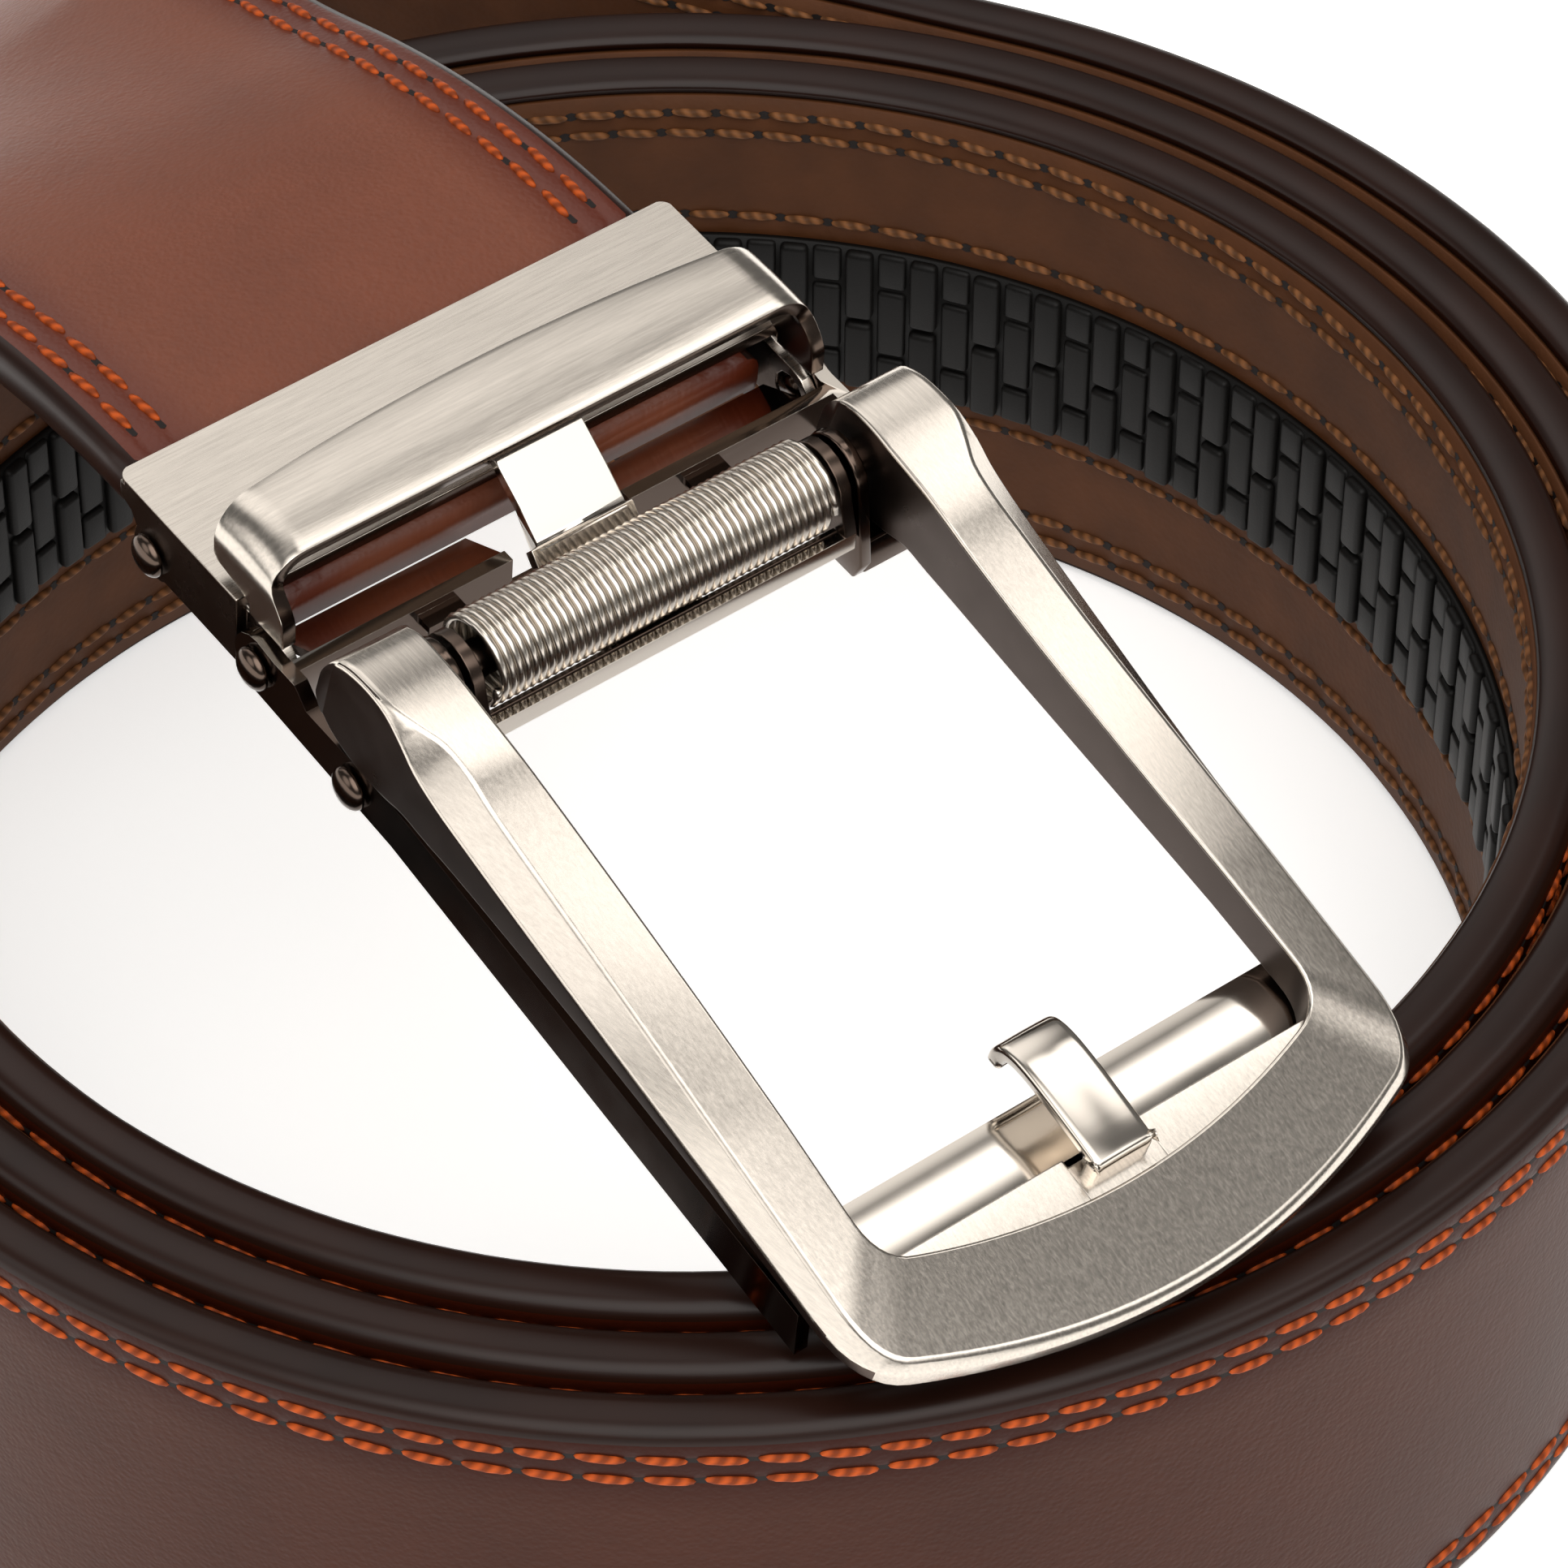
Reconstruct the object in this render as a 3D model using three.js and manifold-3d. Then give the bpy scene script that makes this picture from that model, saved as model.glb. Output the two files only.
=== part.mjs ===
// Ratchet belt: a leather strap coiled on edge, with its buckle end laid over the coil.
// Millimetres, +Z up. X runs along the buckle, from the clamp to the frame's end bar.
import * as THREE from 'three';
import { mergeVertices } from 'three/addons/utils/BufferGeometryUtils.js';
import Module from 'manifold-3d';

const wasm = await Module();
wasm.setup();

const degree = Math.PI / 180;

// Clearances
const seatGap = 0.15;      // between metal pieces that sit on each other
const runningGap = 0.3;    // round pins, and beside moving pieces
const layerGap = 0.2;      // between the strap's layers

// Strap
const strapWidth = 35;
const leatherThickness = 3.2;
const edgeRound = 1.2;       // how far the rounded painted edge reaches in from the side
const edgeFlat = 1.2;        // flat height left at the middle of the edge
const liningInset = 0.9;     // lining's side, in from the strap's edge
const liningThickness = 0.5;
const liningProud = 0.15;    // lining above the leather's inner rim
const trackWidth = 11.3;
const trackBase = 0.3;
const trackTooth = 0.5;
const trackPitch = 5.6;      // one tooth and its valley, along the strap
const trackLength = 292;
const trackStart = 6;        // first tooth, from the free end
const tongueTrim = 1.2;      // cut off each side of the strap's end inside the clamp
const tonguePart = strapWidth - 2 * tongueTrim;

// Coil
const coilRadius = 47.05;    // strap's middle at the free end
const wrapPitch = 4.12;      // one wrap to the next
const coilOval = 0.5;        // how far the coil is out of round
const coilOvalAngle = 61 * degree;
const coilStart = 242.7 * degree;
const coilSweep = 960 * degree;
const coilStep = 10 * degree;

// Strap's run from the coil over its top to the clamp
const turnRadius = 18;       // of the hidden turn outside the coil, seen from above
const runStep = 4;
const climbStartShare = 0.55;  // where the run starts to climb, as a share of its straight
const climbSoft = 45;        // length over which the climb begins
const crestSoft = 38;        // length over which the run levels out behind the clamp
const bankPast = 16;         // strap is flat this far past the turn

// Buckle's place: the clamp's back edge, top face, middle
const buckleX = -14.8;
const buckleY = -8.5;
const buckleRise = 17.2;     // clamp's top above the coil's upper edge
const buckleZ = strapWidth + buckleRise;
const buckleDown = 5.02 * degree;

// Clamp
const clampLength = 11.3;
const clampSide = 0.95;      // clamp's outside beyond the strap's edge
const clampWidth = strapWidth + 2 * clampSide;
const clampDepth = 4.9;
const clampPlate = 0.8;
const clampWall = 0.7;
const clampCorner = 0.8;
const jawPinX = 3.3;
const jawPinZ = -3.6;
const jawPinRadius = 0.7;
const jawEar = 0.75;
const jawPlate = 0.75;
const jawTooth = 0.5;
const jawBack = 0.6;         // lever's plate begins this far in front of its pins
const jawLength = 6.2;
const hingeTab = 0.7;

// Pins and rivets
const pinHeadRadius = 1.3;
const pinHeadHeight = 0.75;
const hingePinX = 13.6;
const hingePinZ = -3.0;
const hingePinRadius = 0.9;
const railRivetX = 22.5;
const railRivetZ = -4.2;
const railRivetRadius = 0.8;

// Keeper arch
const archInset = 0.35;      // arch's leg, in from the clamp's side
const archHalfWidth = clampWidth / 2 - archInset;
const archTop = 4.8;
const archWall = 0.9;
const archCorner = 2.6;
const archBack = 7.4;
const archBackBow = 1.3;     // how far the back edge bows at its ends
const archFront = 13.9;
const archFootFront = 15.2;
const archFootZ = -0.55;
const archFootBack = 12.0;
const archLift = 0.35;       // leg above the clamp plate at its front; more towards the back
const archLiftBack = 0.9;

// Base
const baseOut = 0.25;        // rail's outside beyond the clamp's side
const baseHalfWidth = clampWidth / 2 + baseOut;
const railWall = 0.85;
const railHeight = 3.35;
const railTop = -2.3;        // at the hinge end
const railBend = 26;         // where the rails turn down
const railEnd = 61.6;
const railDrop = 5.2;        // from the bend to the end
const crossWallX = 15.6;
const crossWallTop = -1.2;
const crossWallThick = 0.8;
const crossbarWidth = 4.0;
const crossbarThick = 1.05;
const rampBack = 12.1;
const rampDrop = 2.2;
const slotHalf = 3.9;        // gap for the pawl's finger

// Rod, spring, brackets and pawl
const rodX = 22.5;
const rodZ = 1.0;
const rodRadius = 1.1;
const springRadius = 2.75;
const springIn = 7.2;        // spring's end, in from the base's side
const springHalf = baseHalfWidth - springIn;
const pawlEarGap = 0.25;     // between the spring's end and the pawl's ear
const pawlEarInner = springHalf + pawlEarGap;
const pawlEar = 0.8;
const fingerHalf = 2.9;
const pawlHalf = 3.4;
const pawlSheet = 0.9;
const cheekGap = 0.35;       // between the pawl's ear and the cheek
const cheekInner = pawlEarInner + pawlEar + cheekGap;
const cheek = 0.8;

// Front frame, measured from the rod along its own slope
const frameDown = 12.85 * degree;
const frameEndArc = 49.6;      // end bar's outer edge, middle
const frameEndCorner = 45.4;   // end bar's outer edge at the corners
const frameHalfEnd = baseHalfWidth;
const windowEnd = 40.5;
const endSide = 4.0;           // arm's width at the end bar
const windowHalfEnd = frameHalfEnd - endSide;
const windowCorner = 2.4;
const shelfArc = 43.3;         // shelf's curved edge, middle
const shelfDepth = 0.9;
const endBottom = 0.5;
const endTop = 2.6;
const ridgeIn = 0.75;          // ridge at the end bar, in from its side
const windowTop = 3.3;         // top face at the window's end
const earSkin = 1.1;           // metal left outside the rod's blind hole
const earBore = baseHalfWidth - earSkin;
const notchHalf = 2.5;
const notchDepth = 1.9;
const prongHalf = 1.95;
const prongTip = 33.4;

// Rows along an arm, from the rod. Each edge has its distance in from the frame's half width and its height:
// the window's edge, the ridge and the outer side; the last is the underside's height.
const armRows = [
  { along: -3.0, inner: 4.45, innerTop: 1.6, ridge: 0.0, ridgeTop: 1.6, outer: -0.25, outerTop: 1.4, under: -0.9 },
  { along: -2.4, inner: 4.45, innerTop: 2.8, ridge: 0.0, ridgeTop: 2.9, outer: -0.25, outerTop: 2.7, under: -1.8 },
  { along: -1.2, inner: 4.5, innerTop: 3.6, ridge: 0.0, ridgeTop: 3.8, outer: -0.25, outerTop: 3.6, under: -2.55 },
  { along: 0.5, inner: 4.5, innerTop: 4.0, ridge: 0.0, ridgeTop: 4.45, outer: -0.25, outerTop: 4.25, under: -2.8 },
  { along: 2.2, inner: 4.55, innerTop: 4.15, ridge: 0.1, ridgeTop: 4.7, outer: -0.3, outerTop: 4.45, under: -2.5 },
  { along: 3.9, inner: 4.55, innerTop: 4.3, ridge: 0.7, ridgeTop: 4.75, outer: -0.4, outerTop: 3.9, under: -1.9 },
  { along: 5.4, inner: 4.55, innerTop: 4.4, ridge: 1.3, ridgeTop: 4.75, outer: -0.45, outerTop: 3.1, under: -1.2 },
  { along: 7.4, inner: 4.6, innerTop: 4.4, ridge: 1.4, ridgeTop: 4.6, outer: -0.45, outerTop: 2.8, under: -0.3 },
  { along: 10.0, inner: 4.65, innerTop: 4.25, ridge: 1.3, ridgeTop: 4.3, outer: -0.4, outerTop: 2.6, under: 0.7 },
  { along: 16.0, inner: 4.65, innerTop: 4.1, ridge: 1.25, ridgeTop: 3.95, outer: -0.3, outerTop: 2.2, under: 0.85 },
  { along: 24.0, inner: 4.5, innerTop: 4.15, ridge: 1.1, ridgeTop: 3.75, outer: -0.15, outerTop: 1.8, under: 0.85 },
  { along: 32.0, inner: 4.25, innerTop: 4.15, ridge: 0.9, ridgeTop: 3.55, outer: -0.05, outerTop: 1.6, under: 0.75 },
  { along: 39.2, inner: 4.05, innerTop: 3.9, ridge: 0.8, ridgeTop: 3.2, outer: 0.0, outerTop: 1.5, under: 0.8 },
  { along: 40.6, inner: 4.0, innerTop: 3.75, ridge: 0.8, ridgeTop: 3.05, outer: 0.0, outerTop: 1.45, under: 0.6 },
  { along: 44.0, inner: 4.0, innerTop: 3.3, ridge: 0.75, ridgeTop: 2.7, outer: 0.0, outerTop: 1.4, under: 0.5 },
];

// Colours
const finishes = {
  leather: { color: 0x7a3a22, roughness: 0.35, metalness: 0 },
  lining: { color: 0x5a3a20, roughness: 0.8, metalness: 0 },
  track: { color: 0x1a1918, roughness: 0.7, metalness: 0 },
  brushed: { color: 0xbfb7ac, roughness: 0.35, metalness: 1 },
  polished: { color: 0xd8d0c6, roughness: 0.15, metalness: 1 },
  dark: { color: 0x4a423c, roughness: 0.3, metalness: 1 },
};

// Solids
function solidOf(geometry) {
  const bare = geometry.index ? geometry.toNonIndexed() : geometry.clone();
  for (const name of Object.keys(bare.attributes)) {
    if (name !== 'position') bare.deleteAttribute(name);
  }
  const merged = mergeVertices(bare, 1e-4);
  const vertProperties = new Float32Array(merged.attributes.position.array);
  const triVerts = new Uint32Array(merged.index.array);
  return new wasm.Manifold(new wasm.Mesh({ numProp: 3, vertProperties, triVerts }));
}

function geometryOf(manifold) {
  const mesh = manifold.getMesh();
  const geometry = new THREE.BufferGeometry();
  geometry.setAttribute('position', new THREE.BufferAttribute(new Float32Array(mesh.vertProperties), 3));
  geometry.setIndex(new THREE.BufferAttribute(new Uint32Array(mesh.triVerts), 1));
  return geometry;
}

const joined = (first, ...others) => others.reduce((sum, next) => sum.add(next), first);
const cut = (first, ...others) => others.reduce((rest, next) => rest.subtract(next), first);

function block(x0, x1, y0, y1, z0, z1) {
  const geometry = new THREE.BoxGeometry(x1 - x0, y1 - y0, z1 - z0);
  geometry.translate((x0 + x1) / 2, (y0 + y1) / 2, (z0 + z1) / 2);
  return solidOf(geometry);
}

// A side outline [[x, z], ...] with thickness from y0 to y1
function sidePlate(outline, y0, y1) {
  const shape = new THREE.Shape(outline.map(([x, z]) => new THREE.Vector2(x, z)));
  const geometry = new THREE.ExtrudeGeometry(shape, { depth: y1 - y0, bevelEnabled: false });
  geometry.rotateX(Math.PI / 2);
  geometry.translate(0, y1, 0);
  return solidOf(geometry);
}

// An outline seen from above, with thickness from z0 to z1
function planPlate(shape, z0, z1, curveSegments = 8) {
  const geometry = new THREE.ExtrudeGeometry(shape, { depth: z1 - z0, bevelEnabled: false, curveSegments });
  geometry.translate(0, 0, z0);
  return solidOf(geometry);
}

// A round bar across the buckle
function crossPin(x, z, y0, y1, radius, sides = 12) {
  const geometry = new THREE.CylinderGeometry(radius, radius, y1 - y0, sides);
  geometry.translate(x, (y0 + y1) / 2, z);
  return solidOf(geometry);
}

// The same piece on both sides of the buckle
function bothSides(make) {
  return make(1).add(make(-1));
}

const between = (side, near, far) => (side > 0 ? [near, far] : [-far, -near]);

// Loft through rings of points; the first and last rings are closed with the ring's own triangles.
// All faces split along the same diagonal, so that layers with a twist stay evenly apart.
function loft(rings, outline) {
  const positions = [];
  const index = [];
  const count = outline.length;
  for (const ring of rings) ring.forEach((point) => positions.push(point.x, point.y, point.z));
  for (let row = 0; row + 1 < rings.length; row += 1) {
    for (let k = 0; k < count; k += 1) {
      const a = row * count + k;
      const b = row * count + ((k + 1) % count);
      if (outline[(k + 1) % count][0] < outline[k][0]) index.push(a, b, a + count, b, b + count, a + count);
      else index.push(a, b, b + count, a, b + count, a + count);
    }
  }
  const flat = outline.map(([u, v]) => new THREE.Vector2(u, v));
  const cap = THREE.ShapeUtils.triangulateShape(flat, []);
  if (THREE.ShapeUtils.isClockWise(flat)) cap.forEach((triangle) => triangle.reverse());
  const last = (rings.length - 1) * count;
  for (const [a, b, c] of cap) {
    index.push(a, c, b);
    index.push(last + a, last + b, last + c);
  }
  const geometry = new THREE.BufferGeometry();
  geometry.setAttribute('position', new THREE.Float32BufferAttribute(positions, 3));
  geometry.setIndex(index);
  if (signedVolume(positions, index) < 0) {
    for (let t = 0; t < index.length; t += 3) [index[t + 1], index[t + 2]] = [index[t + 2], index[t + 1]];
    geometry.setIndex(index);
  }
  return geometry;
}

function signedVolume(positions, index) {
  const corner = (k) => new THREE.Vector3().fromArray(positions, 3 * k);
  let volume = 0;
  for (let t = 0; t < index.length; t += 3) {
    volume += corner(index[t]).dot(corner(index[t + 1]).cross(corner(index[t + 2]))) / 6;
  }
  return volume;
}

// Strap's route: a station has its place, the width's direction and the smooth face's direction
const up = new THREE.Vector3(0, 0, 1);
const strapClampZ = -(clampPlate + runningGap + leatherThickness / 2);

function station(place, along, bank, width = strapWidth) {
  const left = up.clone().cross(along).normalize();
  const lift = along.clone().cross(left);
  const across = lift.multiplyScalar(Math.cos(bank)).addScaledVector(left, Math.sin(bank));
  const face = along.clone().cross(across);
  return { place, across, face, width };
}

function coilPlace(sweep) {
  const angle = coilStart + sweep;
  const radius = coilRadius + wrapPitch * sweep / (2 * Math.PI) + coilOval * Math.cos(2 * (angle - coilOvalAngle));
  return new THREE.Vector3(radius * Math.cos(angle), radius * Math.sin(angle), strapWidth / 2);
}

function directionAt(placeOf, value, step) {
  return placeOf(value + step).sub(placeOf(value - step)).normalize();
}

function coilStations() {
  const rows = [];
  const count = Math.round(coilSweep / coilStep);
  for (let k = 0; k < count; k += 1) {
    const sweep = coilSweep * k / count;
    rows.push(station(coilPlace(sweep), directionAt(coilPlace, sweep, 0.001), 0));
  }
  return rows;
}

const smooth = (share) => {
  const held = Math.min(Math.max(share, 0), 1);
  return held * held * (3 - 2 * held);
};

// Straight off the coil, round the hidden turn, and straight along X into the clamp
function runStations() {
  const start = coilPlace(coilSweep);
  const heading = directionAt(coilPlace, coilSweep, 0.001);
  const startAngle = Math.atan2(heading.y, heading.x) + 2 * Math.PI;
  const clampPlaceZ = buckleZ + strapClampZ * Math.cos(buckleDown);
  const clampPlaceX = buckleX + strapClampZ * Math.sin(buckleDown);
  const turnDrop = turnRadius * (1 - Math.cos(startAngle));
  const straight = (buckleY + turnDrop - start.y) / Math.sin(startAngle);
  const turnStart = new THREE.Vector2(start.x + straight * Math.cos(startAngle), buckleY + turnDrop);
  const centre = new THREE.Vector2(turnStart.x - turnRadius * Math.sin(startAngle), turnStart.y - turnDrop + turnRadius);
  const turnLength = turnRadius * (2 * Math.PI - startAngle);
  const lastLength = clampPlaceX - centre.x;
  const total = straight + turnLength + lastLength;
  const climbStart = straight * climbStartShare;
  const climb = new THREE.CubicBezierCurve(
    new THREE.Vector2(climbStart, strapWidth / 2),
    new THREE.Vector2(climbStart + climbSoft, strapWidth / 2),
    new THREE.Vector2(total - crestSoft, clampPlaceZ + crestSoft * Math.tan(buckleDown)),
    new THREE.Vector2(total, clampPlaceZ),
  );
  const heightAt = (length) => {
    if (length <= climbStart) return strapWidth / 2;
    let low = 0;
    let high = 1;
    for (let k = 0; k < 40; k += 1) {
      const middle = (low + high) / 2;
      if (climb.getPoint(middle).x < length) low = middle;
      else high = middle;
    }
    return climb.getPoint(low).y;
  };
  const placeAt = (length) => {
    const z = heightAt(length);
    if (length < straight) {
      return new THREE.Vector3(start.x + length * Math.cos(startAngle), start.y + length * Math.sin(startAngle), z);
    }
    if (length < straight + turnLength) {
      const angle = startAngle + (length - straight) / turnRadius;
      return new THREE.Vector3(centre.x + turnRadius * Math.sin(angle), centre.y - turnRadius * Math.cos(angle), z);
    }
    return new THREE.Vector3(centre.x + length - straight - turnLength, buckleY, z);
  };
  const rows = [];
  const count = Math.round(total / runStep);
  for (let k = 0; k < count; k += 1) {
    const length = total * k / count;
    const bank = Math.PI / 2 * smooth((length - straight * 0.8) / (straight * 0.2 + turnLength + bankPast));
    rows.push(station(placeAt(length), directionAt(placeAt, length, 0.05), bank));
  }
  return rows;
}

// Inside the clamp the strap's end is a narrower tongue
function clampStations() {
  const along = new THREE.Vector3(Math.cos(buckleDown), 0, -Math.sin(buckleDown));
  const rows = [];
  const places = [
    { x: -1.2, width: strapWidth },
    { x: -0.7, width: tonguePart },
    { x: clampLength - 0.9, width: tonguePart },
  ];
  for (const { x, width } of places) {
    const place = new THREE.Vector3(buckleX, buckleY, buckleZ).addScaledVector(along, x);
    place.addScaledVector(new THREE.Vector3(Math.sin(buckleDown), 0, Math.cos(buckleDown)), strapClampZ);
    rows.push(station(place, along, Math.PI / 2, width));
  }
  return rows;
}

const coil = coilStations();
const run = runStations();
const tongue = clampStations();

function ringAt(row, outline) {
  const share = row.width / strapWidth;
  return outline.map(([u, v]) => row.place.clone().addScaledVector(row.across, u * share).addScaledVector(row.face, v));
}

// Strap's section: [across the width, out of the smooth face]
const halfWidth = strapWidth / 2;
const halfThickness = leatherThickness / 2;
const liningOuter = halfThickness + liningProud;
const recessFloor = liningOuter - liningThickness - layerGap;
const recessHalf = halfWidth - liningInset + layerGap;
const edgeSide = [
  [halfWidth - edgeRound, halfThickness],
  [halfWidth - edgeRound * 0.35, halfThickness * 0.8],
  [halfWidth, edgeFlat / 2],
  [halfWidth, -edgeFlat / 2],
  [halfWidth - edgeRound * 0.35, -halfThickness * 0.8],
  [recessHalf, -halfThickness],
  [recessHalf, -recessFloor],
];
const leatherOutline = [...edgeSide.map(([u, v]) => [-u, v]), ...edgeSide.map(([u, v]) => [u, v]).reverse()];

function layerOutline(halfLayer, inner, outer) {
  return [[-halfLayer, -inner], [-halfLayer, -outer], [halfLayer, -outer], [halfLayer, -inner]];
}

function strapLeather() {
  const rows = [...coil, ...run, ...tongue];
  return loft(rows.map((row) => ringAt(row, leatherOutline)), leatherOutline);
}

function strapLining() {
  const outline = layerOutline(halfWidth - liningInset, liningOuter - liningThickness, liningOuter);
  const rows = [...coil, ...run, tongue[0]];
  return loft(rows.map((row) => ringAt(row, outline)), outline);
}

// Teeth: each row of the track is a crest or a valley
function ratchetTrack() {
  const inner = liningOuter + layerGap;
  const base = layerOutline(trackWidth / 2, inner, inner + trackBase);
  const crest = layerOutline(trackWidth / 2, inner, inner + trackBase + trackTooth);
  const rings = [];
  const toothRows = [
    { share: 0, outline: base },
    { share: 0.18, outline: crest },
    { share: 0.62, outline: crest },
    { share: 0.8, outline: base },
  ];
  const teeth = Math.floor(trackLength / trackPitch);
  for (let tooth = 0; tooth < teeth; tooth += 1) {
    for (const { share, outline } of toothRows) {
      const sweep = (trackStart + (tooth + share) * trackPitch) / coilRadius;
      rings.push(ringAt(station(coilPlace(sweep), directionAt(coilPlace, sweep, 0.001), 0), outline));
    }
  }
  return loft(rings, base);
}

// Clamp
const clampHalf = clampWidth / 2;
const clampInner = clampHalf - clampWall;

function clampShell() {
  const c = clampCorner;
  const plan = new THREE.Shape();
  plan.moveTo(c, -clampHalf);
  plan.lineTo(clampLength, -clampHalf);
  plan.lineTo(clampLength, clampHalf);
  plan.lineTo(c, clampHalf);
  plan.absarc(c, clampHalf - c, c, Math.PI / 2, Math.PI, false);
  plan.lineTo(0, -clampHalf + c);
  plan.absarc(c, -clampHalf + c, c, Math.PI, Math.PI * 1.5, false);
  const plate = planPlate(plan, -clampPlate, 0, 3);
  const wallOutline = [
    [0.3, -clampPlate / 2], [clampLength, -clampPlate / 2], [clampLength, -clampDepth],
    [jawPinX + 1.7, -clampDepth], [jawPinX + 0.4, -clampDepth + 0.2], [1.3, -1.9], [0.3, -1.5],
  ];
  const walls = bothSides((side) => {
    const wall = sidePlate(wallOutline, ...between(side, clampInner, clampHalf));
    const lobe = crossPin(jawPinX, jawPinZ, ...between(side, clampInner, clampHalf), 1.75);
    const pinHole = crossPin(jawPinX, jawPinZ, ...between(side, clampInner - 1, clampHalf + 1), jawPinRadius + seatGap, 10);
    return cut(joined(wall, lobe), pinHole);
  });
  const tabOutline = [
    [jawPinX + 3, -clampDepth], [jawPinX + 3, -clampPlate - seatGap], [hingePinX, hingePinZ + 1.85],
    [hingePinX, -clampDepth],
  ];
  const tabs = bothSides((side) => {
    const [y0, y1] = between(side, clampInner - hingeTab, clampInner + 0.01);
    const tab = sidePlate(tabOutline, y0, y1);
    const lobe = crossPin(hingePinX, hingePinZ, y0, y1, 1.85);
    const pinHole = crossPin(hingePinX, hingePinZ, y0 - 1, y1 + 1, hingePinRadius + runningGap, 10);
    return cut(joined(tab, lobe), pinHole);
  });
  return geometryOf(joined(plate, walls, tabs));
}

function clampJaw() {
  const earOuter = clampInner - runningGap;
  const plateTop = strapClampZ - recessFloor - runningGap - jawTooth;
  const plateBottom = plateTop - jawPlate;
  const back = jawPinX + jawBack;
  const plate = block(back, back + jawLength, -earOuter + jawEar, earOuter - jawEar, plateBottom, plateTop);
  const teeth = [0.4, 0.6, 0.8].map((share) => {
    const x = back + jawLength * share;
    return sidePlate([[x - 0.6, plateTop - 0.01], [x + 0.6, plateTop - 0.01], [x + 0.3, plateTop + jawTooth]],
      -earOuter + jawEar + 2, earOuter - jawEar - 2);
  });
  const ears = bothSides((side) => {
    const [y0, y1] = between(side, earOuter - jawEar - 0.01, earOuter);
    const ear = joined(
      crossPin(jawPinX, jawPinZ, y0, y1, 1.5),
      block(jawPinX - 1.1, back + 0.9, y0, y1, plateBottom, jawPinZ),
    );
    return cut(ear, crossPin(jawPinX, jawPinZ, y0 - 1, y1 + 1, jawPinRadius + runningGap, 10));
  });
  return geometryOf(joined(plate, ...teeth, ears));
}

// A pin with a domed head; its axis is across the buckle and the head faces out on its side
function domedPin(x, z, side, headFace, shankEnd, radius) {
  const points = [
    [0, shankEnd], [radius, shankEnd], [radius, headFace], [pinHeadRadius, headFace],
    [pinHeadRadius, headFace + pinHeadHeight * 0.45], [pinHeadRadius * 0.72, headFace + pinHeadHeight * 0.85],
    [0, headFace + pinHeadHeight],
  ].map(([r, y]) => new THREE.Vector2(r, y));
  const geometry = new THREE.LatheGeometry(points, 12);
  if (side < 0) geometry.rotateX(Math.PI);
  geometry.translate(x, 0, z);
  return geometryOf(solidOf(geometry));
}

// Keeper arch: a bent band, trimmed to its side and plan outlines
function keeperArch() {
  const band = (half, top, corner, bottom) => {
    const shape = new THREE.Shape();
    shape.moveTo(-half, bottom);
    shape.lineTo(-half, top - corner);
    shape.absarc(-half + corner, top - corner, corner, Math.PI, Math.PI / 2, true);
    shape.lineTo(half - corner, top);
    shape.absarc(half - corner, top - corner, corner, Math.PI / 2, 0, true);
    shape.lineTo(half, bottom);
    const geometry = new THREE.ExtrudeGeometry(shape, { depth: 20, bevelEnabled: false, curveSegments: 6 });
    geometry.rotateX(Math.PI / 2);
    geometry.rotateZ(Math.PI / 2);
    return solidOf(geometry);
  };
  const outer = band(archHalfWidth, archTop, archCorner, -3);
  const inner = band(archHalfWidth - archWall, archTop - archWall, archCorner - archWall, -4);
  const side = sidePlate([
    [archBack, archTop + 1], [archBack, archTop - archWall - 0.6], [archBack + 1.5, archLiftBack],
    [archFootBack, archLift], [archFootBack, archFootZ],
    [archFootFront, archFootZ], [archFootFront, 0.8], [archFront + 0.5, 2.9], [archFront, archTop - archWall],
    [archFront - 0.15, archTop + 1],
  ], -archHalfWidth - 1, archHalfWidth + 1);
  const plan = new THREE.Shape();
  plan.moveTo(archBack + archBackBow, -archHalfWidth - 1);
  plan.lineTo(archFootFront + 1, -archHalfWidth - 1);
  plan.lineTo(archFootFront + 1, archHalfWidth + 1);
  plan.lineTo(archBack + archBackBow, archHalfWidth + 1);
  plan.quadraticCurveTo(archBack - archBackBow, 0, archBack + archBackBow, -archHalfWidth - 1);
  return geometryOf(outer.subtract(inner).intersect(side).intersect(planPlate(plan, -5, archTop + 2, 10)));
}

// Base
const railInner = baseHalfWidth - railWall;
const railSlope = railDrop / (railEnd - railBend);

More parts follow.
